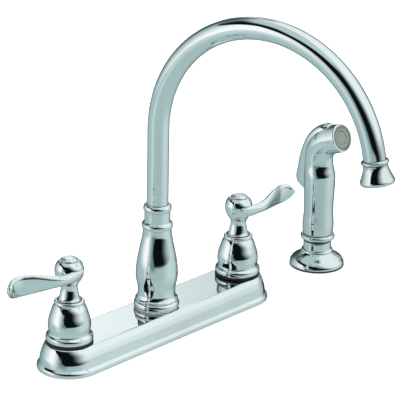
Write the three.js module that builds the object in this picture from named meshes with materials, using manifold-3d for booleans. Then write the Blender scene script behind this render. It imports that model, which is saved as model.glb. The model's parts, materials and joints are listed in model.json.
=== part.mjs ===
// Two handle kitchen faucet with a high gooseneck spout and a side sprayer.
// Millimetres, +Z up. The origin is on the sink deck, on the axis of the spout.
// +X runs towards the sprayer, -Y towards the person at the sink. At rest both valves are
// shut, the levers point outwards and the spout is swung a little towards the sprayer.

import * as THREE from 'three';
import { mergeVertices } from 'three/addons/utils/BufferGeometryUtils.js';
import Module from 'manifold-3d';

const wasm = await Module();
wasm.setup();

// ---- driving dimensions -------------------------------------------------------------

const gap = 0.3; // clearance between pieces that seat on each other
const handleSpacing = 203.2; // between the two handle axes, the 8 inch standard
const sprayerX = 210; // axis of the sprayer, in the fourth hole of the sink
const deckGap = 12; // room for the sink deck between gasket and mounting washers

// base plate
const plateHeight = 22;
const plateTopHalfWidth = 19.2;
const plateFootHalfWidth = 26.4;
const plateWall = 2.2;
const gasketThickness = 2;

// bell and black ring under it
const sealThickness = 1.6;
const bellFootRadius = 19.2;
const bellBellyRadius = 17.4;
const bellRimRadius = 12;
const bellHeight = 34;
const bellWall = 1.8;

// handle
const neckFootRadius = 9.5;
const neckRadius = 6.7;
const ballRadius = 11.8;
const ballHeight = 25; // middle of the ball above the rim of the bell
const ballCrown = 8; // flat top of the ball above its middle
const capRadius = 7;
const capThickness = 2.2;
const leverLength = 64.2; // from the axis of the handle to the tip
const leverHalfHeight = 9.6; // of the blade where it is widest, it stands on edge
const leverThickness = 3.8; // half of the thickest part
const leverSweep = 10.4; // how far the root passes in front of the axis
const leverLean = 10; // degrees, the upper edge leans forward
const leverTurn = -5; // degrees round the axis from straight outwards, when shut

// valve
const shankRadius = 10.3;
const shankLength = 46; // below the deck
const inletBore = 5.5;
const valveHeadRadius = 11;
const valveHeight = 36;
const cartridgeRadius = 8.4;
const cartridgeHeight = 17; // above the valve body
const stemRadius = 4;
const stemReach = 19; // above the cartridge, inside the handle
const bonnetFlats = 25;
const bonnetHeight = 10.5;
const flangeThickness = 2.4; // rim of the cartridge, clamped by the bonnet nut
const nutFlats = 34;
const nutHeight = 9;
const washerRadius = 18;
const washerThickness = 2.4;
const screwRadius = 2;
const screwHeadRadius = 4;

// spout
const spoutAngle = -81.3; // degrees from +X, where the spout points at rest
const spoutFootRadius = 18.9;
const spoutBellyRadius = 17.5;
const spoutNeckRadius = 11.8;
const spoutBodyHeight = 89; // from its foot to the top bead
const glideThickness = 0.8;
const hubRadius = 10;
const hubFootRadius = 13.6;
const hubHeight = 86;
const hubBore = 6.6;
const crossoverRadius = 5;
const nippleRadius = 7;
const nippleLength = 24;
const diverterLength = 16;
const tubeRadius = 8.9;
const tubeWall = 1;
const tubeInsert = 21; // how deep the tube stands in the spout body
const tubeLeg = 176.5; // height where the bend begins
const bendRadius = 100;
const bendAngle = 169.1; // degrees
const tubeTail = 8.6; // straight end after the bend
const nozzleNeckRadius = 9.8;
const nozzleRadius = 13.6;
const nozzleLength = 19.3;
const nozzleGrip = 4.2; // how far the tube stands in the nozzle
const aeratorLength = 8;

// sprayer
const guideFlangeRadius = 24.2;
const guideNeckRadius = 12.4;
const guideHeight = 24.6;
const guideShankRadius = 11.6;
const guideShankLength = 38;
const guideBore = 10.6;
const hoseBore = 8.6;
const collarRadius = 14.5;
const collarHeight = 4.8;
const couplingLength = 16; // below the collar, inside the guide
const sprayRadius = 13.4;
const sprayGripHeight = 71.5; // straight grip, from the collar to the bend
const sprayBend = 20; // radius of the middle line in the bend
const sprayTilt = 20; // degrees that the face looks above the horizontal
const sprayReach = 23.5; // from the axis to the middle of the face
const faceRadius = 10.9;
const faceThickness = 5;
const faceHoles = 24;
const jetRing = 9.2; // radius of the ring of jets
const triggerStandOff = 9; // outer side of the trigger's tip outside the grip
const triggerThickness = 2.2;
const triggerHalfWidth = 9;
const triggerDepth = 0.8; // how far its sides stand in the grooves of the body
const lugWidth = 8; // lug between the trigger and its pin
const plungerRadius = 3.1;
const pinRadius = 1.5;

// facets round a turned piece
const fine = 20;
const medium = 14;
const coarse = 8;

// ---- materials ----------------------------------------------------------------------

const finish = (color, roughness, metalness) =>
  new THREE.MeshStandardMaterial({ color, roughness, metalness });
const chrome = finish(0xcfd8da, 0.06, 1);
const brass = finish(0xb8924a, 0.3, 1);
const steel = finish(0xa9adb0, 0.3, 1);
const rubber = finish(0x111111, 0.7, 0);
const nylon = finish(0xe8e6df, 0.5, 0);
const greyPlastic = finish(0xa3ada4, 0.5, 0);
const blackPlastic = finish(0x222426, 0.5, 0);

// ---- solids -------------------------------------------------------------------------

const radians = THREE.MathUtils.degToRad;

// A closed geometry as a solid, its faces turned outwards.
function solid(geometry) {
  const bare = geometry.clone();
  bare.deleteAttribute('normal');
  bare.deleteAttribute('uv');
  const merged = mergeVertices(bare, 1e-4);
  const position = merged.attributes.position;
  const corner = [0, 1, 2].map(() => new THREE.Vector3());
  const triangles = [];
  let volume = 0;
  for (let i = 0; i < merged.index.count; i += 3) {
    const ids = [0, 1, 2].map((k) => merged.index.getX(i + k));
    if (new Set(ids).size < 3) continue;
    ids.forEach((id, k) => corner[k].fromBufferAttribute(position, id));
    volume += corner[0].dot(corner[1].clone().cross(corner[2]));
    triangles.push(ids);
  }
  const outward = volume < 0 ? triangles.map(([a, b, c]) => [a, c, b]) : triangles;
  return new wasm.Manifold(new wasm.Mesh({
    numProp: 3,
    vertProperties: Float32Array.from(position.array),
    triVerts: Uint32Array.from(outward.flat()),
  }));
}

// A profile of [radius, height] points turned about the Z axis.
function turned(profile, facets = medium) {
  const points = profile.map(([r, z]) => new THREE.Vector2(r, z));
  const closed = profile[0][0] > 0;
  if (closed) points.push(points[0].clone());
  const geometry = new THREE.LatheGeometry(points, facets);
  geometry.rotateX(Math.PI / 2);
  return solid(geometry);
}

// A solid rod between two heights, and a ring.
const rod = (r, low, high, facets = medium) =>
  turned([[0, low], [r, low], [r, high], [0, high]], facets);
const ring = (inner, outer, low, high, facets = medium) =>
  turned([[inner, low], [outer, low], [outer, high], [inner, high]], facets);

// A rod from one point to another.
function rodBetween(from, to, r, facets = coarse) {
  const axis = new THREE.Vector3().subVectors(to, from);
  const geometry = new THREE.CylinderGeometry(r, r, axis.length(), facets);
  geometry.translate(0, axis.length() / 2, 0);
  const turn = new THREE.Quaternion().setFromUnitVectors(new THREE.Vector3(0, 1, 0), axis.normalize());
  geometry.applyQuaternion(turn);
  geometry.translate(from.x, from.y, from.z);
  return solid(geometry);
}

// A hexagonal prism between two heights.
function hexagon(flats, low, high) {
  const geometry = new THREE.CylinderGeometry(flats / Math.sqrt(3), flats / Math.sqrt(3), high - low, 6);
  geometry.rotateX(Math.PI / 2);
  geometry.translate(0, 0, (low + high) / 2);
  return solid(geometry);
}

// The outline of a stadium: two half circles joined by straight sides.
function stadium(halfWidth) {
  const centre = handleSpacing / 2;
  const shape = new THREE.Shape();
  shape.absarc(centre, 0, halfWidth, -Math.PI / 2, Math.PI / 2);
  shape.absarc(-centre, 0, halfWidth, Math.PI / 2, (3 * Math.PI) / 2);
  shape.closePath();
  return shape.extractPoints(medium / 2).shape;
}

// A skin through rings of points, closed at both ends.
function loft(rings) {
  const count = rings[0].length;
  const index = [];
  rings.slice(1).forEach((_, k) => {
    for (let i = 0; i < count; i++) {
      const a = k * count + i;
      const b = k * count + ((i + 1) % count);
      index.push(a, b, b + count, a, b + count, a + count);
    }
  });
  const cap = (ringPoints, offset, flip) => {
    const origin = ringPoints[0];
    const normal = new THREE.Vector3();
    ringPoints.forEach((p, i) => {
      const q = ringPoints[(i + 1) % count];
      normal.add(new THREE.Vector3().crossVectors(p.clone().sub(origin), q.clone().sub(origin)));
    });
    normal.normalize();
    const u = ringPoints[1].clone().sub(origin).normalize();
    const v = new THREE.Vector3().crossVectors(normal, u);
    const flat = ringPoints.map((p) => {
      const d = p.clone().sub(origin);
      return new THREE.Vector2(d.dot(u), d.dot(v));
    });
    THREE.ShapeUtils.triangulateShape(flat, []).forEach(([a, b, c]) => {
      index.push(...(flip ? [a, c, b] : [a, b, c]).map((i) => i + offset));
    });
  };
  cap(rings[0], 0, true);
  cap(rings.at(-1), (rings.length - 1) * count, false);
  const geometry = new THREE.BufferGeometry();
  geometry.setAttribute('position',
    new THREE.Float32BufferAttribute(rings.flat().flatMap((p) => p.toArray()), 3));
  geometry.setIndex(index);
  return solid(geometry);
}

// A helical spring of round wire, standing on the Z axis.
function coilSpring(radius, wire, length, turns, steps = 7, sides = 4) {
  const rings = [];
  for (let i = 0; i <= turns * steps; i++) {
    const angle = (i / steps) * 2 * Math.PI;
    const outward = new THREE.Vector3(Math.cos(angle), Math.sin(angle), 0);
    const centre = outward.clone().multiplyScalar(radius);
    centre.z = wire + (i / (turns * steps)) * (length - 2 * wire);
    rings.push(Array.from({ length: sides }, (_, k) => {
      const a = (k / sides) * 2 * Math.PI;
      return centre.clone().addScaledVector(outward, wire * Math.cos(a))
        .add(new THREE.Vector3(0, 0, wire * Math.sin(a)));
    }));
  }
  return loft(rings);
}

const group = new THREE.Group();
group.name = 'kitchen_faucet';

function add(name, shape, material, parent = group) {
  const { vertProperties, triVerts } = shape.getMesh();
  const geometry = new THREE.BufferGeometry();
  geometry.setAttribute('position', new THREE.BufferAttribute(Float32Array.from(vertProperties), 3));
  geometry.setIndex(new THREE.BufferAttribute(Uint32Array.from(triVerts), 1));
  geometry.computeVertexNormals();
  const mesh = new THREE.Mesh(geometry, material);
  mesh.name = name;
  parent.add(mesh);
  return mesh;
}

// ---- base plate and gasket ----------------------------------------------------------

const bellFoot = plateHeight + gap + sealThickness + gap; // underside of the bell
const plateHoleRadius = hubFootRadius + 2.5 * gap;

function plateSkin(inset, low, levels) {
  const rings = levels.map(([halfWidth, z]) =>
    stadium(halfWidth - inset).map((p) => new THREE.Vector3(p.x, p.y, Math.max(z, low))));
  return loft(rings);
}

function basePlate() {
  const foot = plateFootHalfWidth;
  const top = plateTopHalfWidth;
  const outer = plateSkin(0, gap, [
    [foot - 0.5, gap], [foot, 1.6], [foot - 0.1, 3.6], [foot - 1.5, 5.6],
    [foot - 2.2, 8], [foot - 3.8, 13], [top + 1.3, plateHeight - 3],
    [top + 0.4, plateHeight - 0.6], [top, plateHeight],
  ]);
  const inner = plateSkin(plateWall, -1, [
    [foot - 0.8, -1], [foot - 0.8, 3.4], [foot - 2.4, 8], [top + 1, plateHeight - plateWall],
  ]);
  const holes = [-handleSpacing / 2, 0, handleSpacing / 2].map((x) =>
    rod(plateHoleRadius, plateHeight - 2 * plateWall, plateHeight + 1).translate([x, 0, 0]));
  return holes.reduce((body, hole) => body.subtract(hole), outer.subtract(inner));
}

function baseGasket() {
  const outline = stadium(plateFootHalfWidth - 0.8 - plateWall - gap);
  const shape = new THREE.Shape(outline);
  [-handleSpacing / 2, 0, handleSpacing / 2].forEach((x) => {
    const hole = new THREE.Path();
    hole.absarc(x, 0, shankRadius + 1, 0, 2 * Math.PI, true);
    shape.holes.push(hole);
  });
  return solid(new THREE.ExtrudeGeometry(shape,
    { depth: gasketThickness, bevelEnabled: false, curveSegments: medium / 2 }));
}

add('base_plate', basePlate(), chrome);
add('base_gasket', baseGasket(), rubber);

// ---- valves and handles -------------------------------------------------------------

const bodyFoot = gasketThickness + gap; // the brass bodies stand on the gasket
const cavityFloor = 16; // floor of the cartridge chamber
const crossoverZ = 10;
const portReach = 30; // how far from the axis the ports to the crossover tubes are drilled
const bellTop = bellFoot + bellHeight;
const ballZ = bellTop + ballHeight;
const crownZ = ballZ + ballCrown;
const stemTop = valveHeight + cartridgeHeight + stemReach;

function valveBody(side) {
  const outer = turned([
    [0, -shankLength], [shankRadius - 1, -shankLength], [shankRadius, -shankLength + 1],
    [shankRadius, bodyFoot], [hubFootRadius + 1, bodyFoot], [hubFootRadius + 1, plateHeight - plateWall - gap],
    [valveHeadRadius, plateHeight - plateWall + 1], [valveHeadRadius, valveHeight], [0, valveHeight],
  ], medium);
  const bore = rod(inletBore, -shankLength - 1, cavityFloor - 2, coarse);
  const chamber = rod(cartridgeRadius + gap, cavityFloor, valveHeight + 1, coarse);
  const seatWell = rod(4.8, cavityFloor - 9, cavityFloor + 1, coarse);
  const outlet = rodBetween(new THREE.Vector3(0, 0, crossoverZ),
    new THREE.Vector3(side * -portReach, 0, crossoverZ), crossoverRadius - 1.2, coarse);
  return outer.subtract(bore).subtract(chamber).subtract(seatWell).subtract(outlet);
}

function cartridge() {
  const low = cavityFloor + 3.2;
  const flange = valveHeight + gap;
  const top = valveHeight + cartridgeHeight;
  const profile = [
    [stemRadius + gap, low + 5], [stemRadius + gap, top], [stemRadius + 2.4, top],
    [stemRadius + 3, top - 1], [stemRadius + 3, flange + flangeThickness],
    [valveHeadRadius - 0.8, flange + flangeThickness], [valveHeadRadius - 0.8, flange],
    [cartridgeRadius, flange], [cartridgeRadius, low], [3, low], [3, low + 5],
  ];
  return turned(profile, coarse);
}

function valveStem() {
  const foot = cavityFloor + 3.2 + 5 + gap;
  const shaft = rod(stemRadius, foot, stemTop, coarse);
  const flat = hexagon(2 * stemRadius - 0.9, stemTop - stemReach + 2, stemTop + 1);
  const shoulder = rod(stemRadius, foot - 1, stemTop - stemReach + 2, coarse);
  const tap = rod(screwRadius - 0.2, stemTop - 9, stemTop + 1, 12);
  return shaft.intersect(flat.add(shoulder)).subtract(tap);
}

function bonnetNut() {
  const web = valveHeight + gap + flangeThickness + gap; // underside of the nut's top
  const high = web + 3;
  const hex = hexagon(bonnetFlats, high - bonnetHeight, high);
  const thread = rod(valveHeadRadius + gap, high - bonnetHeight - 1, web);
  return hex.subtract(thread).subtract(rod(stemRadius + 3 + 2 * gap, web - 1, high + 1));
}

function rubberSeat() {
  return ring(1.8, 4.4, cavityFloor + gap / 2, cavityFloor + 3.2 - gap, coarse);
}

function seatSpring() {
  const low = cavityFloor - 9 + gap;
  return coilSpring(3.6, 0.45, cavityFloor - low, 4).translate([0, 0, low]);
}

function mountingWasher() {
  return ring(shankRadius + gap, washerRadius, -deckGap - washerThickness, -deckGap);
}

function mountingNut() {
  const high = -deckGap - washerThickness - gap;
  const hex = hexagon(nutFlats, high - nutHeight, high);
  const chamfer = turned([[0, high - nutHeight], [nutFlats / 2, high - nutHeight],
    [nutFlats / 2 + 3, high - nutHeight + 2.5], [nutFlats / 2 + 3, high], [0, high]]);
  return hex.intersect(chamfer).subtract(rod(shankRadius + gap, high - nutHeight - 1, high + 1));
}

function bell() {
  const foot = bellFootRadius;
  const belly = bellBellyRadius;
  const rim = bellRimRadius;
  const z = (share) => bellFoot + share * bellHeight;
  const hole = neckFootRadius + 0.7;
  const outer = [
    [foot - 0.5, z(0)], [foot, z(0.04)], [foot - 0.2, z(0.12)], [belly - 1, z(0.17)],
    [belly - 0.6, z(0.24)], [belly, z(0.38)], [belly - 0.7, z(0.54)], [belly - 2.2, z(0.7)],
    [rim + 1.7, z(0.84)], [rim + 0.1, z(0.93)], [rim + 0.2, z(0.97)], [rim - 0.5, z(1)], [hole, z(1)],
  ];
  const inner = [
    [hole, z(0.93)], [rim + 1.7 - bellWall, z(0.8)], [belly - bellWall - 0.4, z(0.48)],
    [belly - bellWall - 0.4, z(0)],
  ];
  return turned([...outer, ...inner], fine);
}

function sealRing() {
  const low = plateHeight + gap;
  return ring(plateHoleRadius + 0.4, bellFootRadius, low, low + sealThickness, fine);
}

// The lever is cast in one with the ball. Its root wraps round the front of the ball, then it
// runs outwards as a blade that stands on edge and sweeps back, and it ends round. Each
// station gives shares: of the length, of the sweep, the height of the middle as a share of
// the half height, and the shares of half height and thickness that it has there. The hot
// handle is the mirror image of the cold one.
const leverStations = [
  [-0.12, 0.83, 0.06, 0.08, 0.24], [-0.08, 0.9, 0.02, 0.23, 0.5], [-0.015, 0.92, -0.17, 0.45, 0.71],
  [0.06, 0.94, -0.26, 0.52, 0.87], [0.2, 1, -0.2, 0.45, 1], [0.3, 0.94, -0.17, 0.52, 1],
  [0.4, 0.75, -0.15, 0.62, 0.97], [0.5, 0.5, -0.135, 0.76, 0.92], [0.6, 0.23, -0.135, 0.9, 0.89],
  [0.7, -0.04, -0.17, 0.97, 0.87], [0.8, -0.22, -0.21, 1, 0.84], [0.88, -0.14, -0.18, 0.9, 0.82],
  [0.94, 0.06, -0.125, 0.65, 0.76], [0.975, 0.18, -0.08, 0.37, 0.63], [0.995, 0.26, -0.06, 0.13, 0.37],
];

function leverRings() {
  const sides = 10;
  const lean = radians(leverLean);
  return leverStations.map(([along, forward, middle, tall, thick]) =>
    Array.from({ length: sides }, (_, k) => {
      const a = ((k + 0.5) / sides) * 2 * Math.PI;
      const up = leverHalfHeight * tall * Math.cos(a);
      const out = leverThickness * thick * Math.sin(a);
      return new THREE.Vector3(along * leverLength,
        -leverSweep * forward - up * Math.sin(lean) - out * Math.cos(lean),
        leverHalfHeight * middle + up * Math.cos(lean) - out * Math.sin(lean));
    }));
}

function handle(side) {
  const foot = bellTop - 0.8;
  const equator = ballRadius;
  const body = turned([
    [0, foot], [neckFootRadius, foot], [neckFootRadius, bellTop + 0.5], [neckFootRadius - 0.6, bellTop + 1.2],
    [neckFootRadius - 1.4, bellTop + 2.6], [neckRadius + 0.7, bellTop + 6.5], [neckRadius, bellTop + 11],
    [neckRadius + 0.5, ballZ - 11.2], [equator * 0.78, ballZ - 8.6], [equator * 0.93, ballZ - 4.8],
    [equator, ballZ - 0.4], [equator * 0.965, ballZ + 3.4], [equator * 0.86, ballZ + 6.2],
    [equator * 0.72, ballZ + ballCrown - 0.3], [equator * 0.66, crownZ], [0, crownZ],
  ], fine);
  const lever = loft(leverRings()).translate([0, 0, ballZ]);
  const aimed = (side < 0 ? lever.mirror([1, 0, 0]) : lever).rotate([0, 0, leverTurn]);
  const socket = hexagon(2 * stemRadius + gap, foot - 1, stemTop + gap);
  const screwHole = rod(screwRadius + 0.3, foot, crownZ + 1, 12);
  const counterbore = rod(screwHeadRadius + 0.5, stemTop + 3.5, crownZ + 1, coarse);
  const capSeat = rod(capRadius - 1.2, crownZ - 1.4, crownZ + 1, medium);
  return [socket, screwHole, counterbore, capSeat].reduce((a, b) => a.subtract(b), body.add(aimed));
}

function handleScrew() {
  const seat = stemTop + 3.5 + gap;
  const shape = turned([[0, stemTop - 7], [screwRadius - 0.5, stemTop - 7], [screwRadius - 0.5, seat],
    [screwHeadRadius, seat], [screwHeadRadius, seat + 2], [screwHeadRadius - 1, seat + 2.8],
    [0, seat + 2.8]], coarse);
  const slot = solid(new THREE.BoxGeometry(2 * screwHeadRadius + 1, 1, 1.6).translate(0, 0, seat + 2.8));
  return shape.subtract(slot);
}

function handleCap() {
  const seat = crownZ + gap / 3;
  return turned([[0, crownZ - 1.1], [capRadius - 1.5, crownZ - 1.1], [capRadius - 1.5, seat],
    [capRadius, seat], [capRadius, seat + 0.6 * capThickness], [capRadius - 0.9, seat + capThickness * 0.9],
    [capRadius - 2.2, seat + capThickness], [0, seat + capThickness]]);
}

function valveSet(prefix, side) {
  const axis = new THREE.Group();
  axis.position.x = side * (handleSpacing / 2);
  group.add(axis);
  const place = (name, shape, material) => add(`${prefix}_${name}`, shape, material, axis);
  place('valve_body', valveBody(side), brass);
  place('shank_washer', mountingWasher(), rubber);
  place('shank_nut', mountingNut(), brass);
  place('seat_spring', seatSpring(), steel);
  place('seat', rubberSeat(), rubber);
  place('cartridge', cartridge(), nylon);
  place('bonnet_nut', bonnetNut(), brass);
  place('seal_ring', sealRing(), rubber);
  place('bell', bell(), chrome);
  place('valve_stem', valveStem(), brass);
  place('handle', handle(side), chrome);
  place('handle_screw', handleScrew(), steel);
  place('handle_cap', handleCap(), chrome);
}

valveSet('hot', -1);
valveSet('cold', 1);

// ---- spout hub and crossover tubes --------------------------------------------------

const spoutFoot = plateHeight + gap + glideThickness + gap;
const screwZ = spoutFoot + 4.2; // the set screw and the groove that it stands in
const hubShoulder = 36;
const diverterFoot = 22; // the diverter rests on a step in the bore of the hub
const oringLow = 66;
const oringHigh = 80;
const oringGroove = 1.2;
const oringWire = (oringGroove + gap - 0.2) / 2; // radius of the ring's round section

function spoutHub() {
  const groove = (z) => [[hubRadius, z - 1.3], [hubRadius - oringGroove, z - 1.3],
    [hubRadius - oringGroove, z + 1.3], [hubRadius, z + 1.3]];
  const outer = turned([
    [0, -nippleLength], [nippleRadius - 0.8, -nippleLength], [nippleRadius, -nippleLength + 0.8],
    [nippleRadius, bodyFoot], [hubFootRadius + 1.4, bodyFoot],
    [hubFootRadius + 1.4, plateHeight - plateWall - gap], [hubFootRadius, plateHeight - plateWall],
    [hubFootRadius, screwZ - 2.4], [hubFootRadius - 1, screwZ - 2.4], [hubFootRadius - 1, screwZ + 2.4],
    [hubFootRadius, screwZ + 2.4], [hubFootRadius, hubShoulder], [hubRadius, hubShoulder],
    ...groove(oringLow), ...groove(oringHigh), [hubRadius, hubHeight], [0, hubHeight],
  ]);
  const water = rod(hubBore, diverterFoot - gap, hubHeight + 1, coarse);
  const inlet = rod(hubBore - 1.8, crossoverZ - 4, diverterFoot, coarse);
  const sprayFeed = rod(3.2, -nippleLength - 1, crossoverZ, coarse);
  const feeds = rodBetween(new THREE.Vector3(-portReach, 0, crossoverZ),
    new THREE.Vector3(portReach, 0, crossoverZ), crossoverRadius - 1.2, coarse);
  return [water, inlet, sprayFeed, feeds].reduce((a, b) => a.subtract(b), outer);
}

function crossover(side) {
  const from = new THREE.Vector3(side * (hubFootRadius + 1.4 + gap), 0, crossoverZ);
  const to = new THREE.Vector3(side * (handleSpacing / 2 - hubFootRadius - 1 - gap), 0, crossoverZ);
  const past = (point, sign) => point.clone().add(new THREE.Vector3(sign * side, 0, 0));
  return rodBetween(from, to, crossoverRadius)
    .subtract(rodBetween(past(from, -1), past(to, 1), crossoverRadius - 1.2));
}

function diverter() {
  const low = diverterFoot;
  const r = hubBore - gap;
  return turned([[0, low], [r - 2, low], [r - 2, low + 2], [r, low + 3], [r, low + 5.5], [r - 2.4, low + 6.5],
    [r - 2.4, low + diverterLength - 5], [r, low + diverterLength - 4], [r, low + diverterLength - 1.5],
    [r - 1.5, low + diverterLength], [0, low + diverterLength]], coarse);
}

function oRing(z) {
  const sides = 6;
  const middle = hubRadius - oringGroove + oringWire + 0.1;
  const section = Array.from({ length: sides }, (_, k) => {
    const a = ((k + 0.5) / sides) * 2 * Math.PI;
    return [middle + oringWire * Math.cos(a), z + oringWire * Math.sin(a)];
  });
  return turned(section, medium);
}

add('spout_hub', spoutHub(), brass);
add('hot_crossover', crossover(-1), brass);
add('cold_crossover', crossover(1), brass);
add('diverter', diverter(), blackPlastic);
add('hub_oring_lower', oRing(oringLow), rubber);
add('hub_oring_upper', oRing(oringHigh), rubber);
add('spout_glide_ring', ring(hubFootRadius + gap, spoutFootRadius - 1, plateHeight + gap,
  plateHeight + gap + glideThickness, fine), nylon);

// ---- spout --------------------------------------------------------------------------

const spoutTop = spoutFoot + spoutBodyHeight;
const tubeFoot = spoutTop - tubeInsert;

function spoutBody() {
  const foot = spoutFootRadius;
  const belly = spoutBellyRadius;
  const neck = spoutNeckRadius;
  const z = (height) => spoutFoot + (height * spoutBodyHeight) / 88;
  const bore = hubRadius + gap;
  const outer = [
    [foot - 0.6, z(0)], [foot, z(1.6)], [foot - 0.2, z(3.6)], [foot - 1.4, z(5.2)],
    [foot - 1.1, z(6.6)], [belly - 1.2, z(8)], [belly - 2, z(12)], [belly - 1.6, z(17)],
    [belly - 0.3, z(23.5)], [belly, z(29)], [belly - 0.5, z(36)], [belly - 1.9, z(45)],
    [belly - 4.2, z(55)], [neck + 0.4, z(61)], [neck, z(67.2)],
    [neck + 1, z(69)], [neck + 1, z(71.6)], [neck - 1.1, z(73.4)],
    [neck - 1.1, z(81.8)], [neck - 0.2, z(83.4)], [neck - 0.2, z(86)],
    [tubeRadius + 0.9, z(88)], [tubeRadius + gap, z(88)],
  ];
  const inner = [
    [tubeRadius + gap, tubeFoot - gap], [hubRadius - 1.6, tubeFoot - gap], [hubRadius - 1.6, hubHeight + 1],
    [bore, hubHeight + 1], [bore, oringLow - 6], [hubFootRadius + gap, oringLow - 12],
    [hubFootRadius + gap, spoutFoot],
  ];
  const backwards = radians(spoutAngle + 180);
  const outward = new THREE.Vector3(Math.cos(backwards), Math.sin(backwards), 0);
  const hole = rodBetween(outward.clone().multiplyScalar(hubFootRadius - 2).setZ(screwZ),
    outward.clone().multiplyScalar(foot + 2).setZ(screwZ), 2.2, 12);
  return turned([...outer, ...inner], fine).subtract(hole);
}

function setScrew() {
  const backwards = radians(spoutAngle + 180);
  const outward = new THREE.Vector3(Math.cos(backwards), Math.sin(backwards), 0);
  const at = (r) => outward.clone().multiplyScalar(r).setZ(screwZ);
  const shank = rodBetween(at(hubFootRadius - 1 + gap), at(spoutFootRadius - 1), 1.9, 12);
  return shank.subtract(rodBetween(at(spoutFootRadius - 3), at(spoutFootRadius), 1, 6));
}

// The middle line of the gooseneck: up, over in one round bend, and a short straight end.
class Gooseneck extends THREE.Curve {
  constructor() {
    super();
    this.legLength = tubeLeg - tubeFoot;
    this.bendLength = bendRadius * radians(bendAngle);
    this.total = this.legLength + this.bendLength + tubeTail;
  }

  at(distance) {
    const turnedBy = THREE.MathUtils.clamp((distance - this.legLength) / bendRadius, 0, radians(bendAngle));
    const rise = Math.min(distance, this.legLength);
    const tail = Math.max(0, distance - this.legLength - this.bendLength);
    const out = bendRadius * (1 - Math.cos(turnedBy)) + tail * Math.sin(turnedBy);
    const up = tubeFoot + rise + bendRadius * Math.sin(turnedBy) + tail * Math.cos(turnedBy);
    const heading = radians(spoutAngle);
    return new THREE.Vector3(out * Math.cos(heading), out * Math.sin(heading), up);
  }

  getPoint(t, target = new THREE.Vector3()) {
    return target.copy(this.at(t * this.total));
  }
}

const gooseneck = new Gooseneck();

// The tube is skinned through rings that stand square to its middle line, close together
// in the bend and far apart on the straight stretches.
function spoutTube() {
  const bendSteps = 20;
  const distances = [0, gooseneck.legLength];
  for (let i = 1; i <= bendSteps; i++) {
    distances.push(gooseneck.legLength + (i / bendSteps) * gooseneck.bendLength);
  }
  distances.push(gooseneck.total);
  const heading = radians(spoutAngle);
  const sideways = new THREE.Vector3(-Math.sin(heading), Math.cos(heading), 0);
  const skin = (r, extra, sides) => loft(distances.map((d, k) => {
    const ahead = gooseneck.at(d + 0.05).sub(gooseneck.at(d - 0.05)).normalize();
    const across = new THREE.Vector3().crossVectors(sideways, ahead);
    const end = (k === 0 ? -extra : 0) + (k === distances.length - 1 ? extra : 0);
    const centre = gooseneck.at(d).addScaledVector(ahead, end);
    return Array.from({ length: sides }, (_, i) => {
      const a = (i / sides) * 2 * Math.PI;
      return centre.clone().addScaledVector(sideways, r * Math.cos(a)).addScaledVector(across, r * Math.sin(a));
    });
  }));
  return skin(tubeRadius, 0, medium).subtract(skin(tubeRadius - tubeWall, 1, coarse));
}

// The nozzle hangs on the end of the tube, so it is placed in a group that is turned to
// the tube's last direction. Heights in it run from the top of the nozzle downwards.
const nozzleGroup = new THREE.Group();
const tubeEnd = gooseneck.at(gooseneck.total);
const lastDirection = tubeEnd.clone().sub(gooseneck.at(gooseneck.total - 1)).normalize();
nozzleGroup.position.copy(tubeEnd.clone().addScaledVector(lastDirection, -nozzleGrip));
nozzleGroup.quaternion.setFromUnitVectors(new THREE.Vector3(0, 0, -1), lastDirection);
group.add(nozzleGroup);

function nozzle() {
  const neck = nozzleNeckRadius;
  const lip = nozzleRadius;
  const z = (depth) => (-depth * nozzleLength) / 20.5;
  const outer = [
    [tubeRadius + gap, z(0)], [neck + 0.5, z(0)], [neck + 1.2, z(1.3)],
    [neck + 0.7, z(3)], [neck, z(4)], [neck + 0.1, z(6.4)], [neck + 1.2, z(10.6)],
    [lip - 0.9, z(15.2)], [lip, z(17.4)], [lip - 0.5, z(19.2)], [lip - 2.4, z(20.5)],
    [tubeRadius + 0.2, z(20.5)],
  ];
  const inner = [
    [tubeRadius + 0.2, z(20.5) + aeratorLength + 1.2], [tubeRadius - 1.5, z(20.5) + aeratorLength + 1.2],
    [tubeRadius - 1.5, -nozzleGrip - gap], [tubeRadius + gap, -nozzleGrip - gap],
  ];
  return turned([...outer, ...inner], fine);
}

// Concentric rings of small holes in the aerator's screen.
function aerator() {
  const low = -nozzleLength + 1;
  const r = tubeRadius - 0.1;
  let body = turned([[0, low], [r - 1.4, low], [r - 1.4, low - 0.5], [r, low - 0.5],
    [r, low + aeratorLength], [0, low + aeratorLength]]);
  [[1, 0], [6, 3], [12, 6]].forEach(([count, distance]) => {
    for (let i = 0; i < count; i++) {
      const a = (i / count) * 2 * Math.PI;
      body = body.subtract(rod(0.8, low - 1, low + 2, 5)
        .translate([distance * Math.cos(a), distance * Math.sin(a), 0]));
    }
  });
  return body;
}

add('spout_body', spoutBody(), chrome);
add('spout_set_screw', setScrew(), steel);
add('spout_tube', spoutTube(), chrome);
add('spout_nozzle', nozzle(), chrome, nozzleGroup);
add('aerator', aerator(), greyPlastic, nozzleGroup);

// ---- spray guide --------------------------------------------------------------------

const sprayAxis = new THREE.Group();
sprayAxis.position.x = sprayerX;
group.add(sprayAxis);

const couplingFoot = guideHeight - couplingLength + gap;

function sprayGuide() {
  const flange = guideFlangeRadius;
  const neck = guideNeckRadius;
  const shoulder = couplingFoot - 2;
  return turned([
    [hoseBore, -guideShankLength], [guideShankRadius - 0.8, -guideShankLength],
    [guideShankRadius, -guideShankLength + 0.8], [guideShankRadius, 0], [flange - 0.5, 0],
    [flange, 1.2], [flange - 0.4, 3.6], [flange - 2.2, 7], [flange - 5.6, 10.2],
    [neck + 2, 13], [neck + 1.4, 14.8], [neck, 16],
    [neck, guideHeight - 0.5], [neck - 0.6, guideHeight], [guideBore, guideHeight],
    [guideBore, shoulder + 1], [hoseBore, shoulder - 1],
  ], fine);
}

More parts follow.
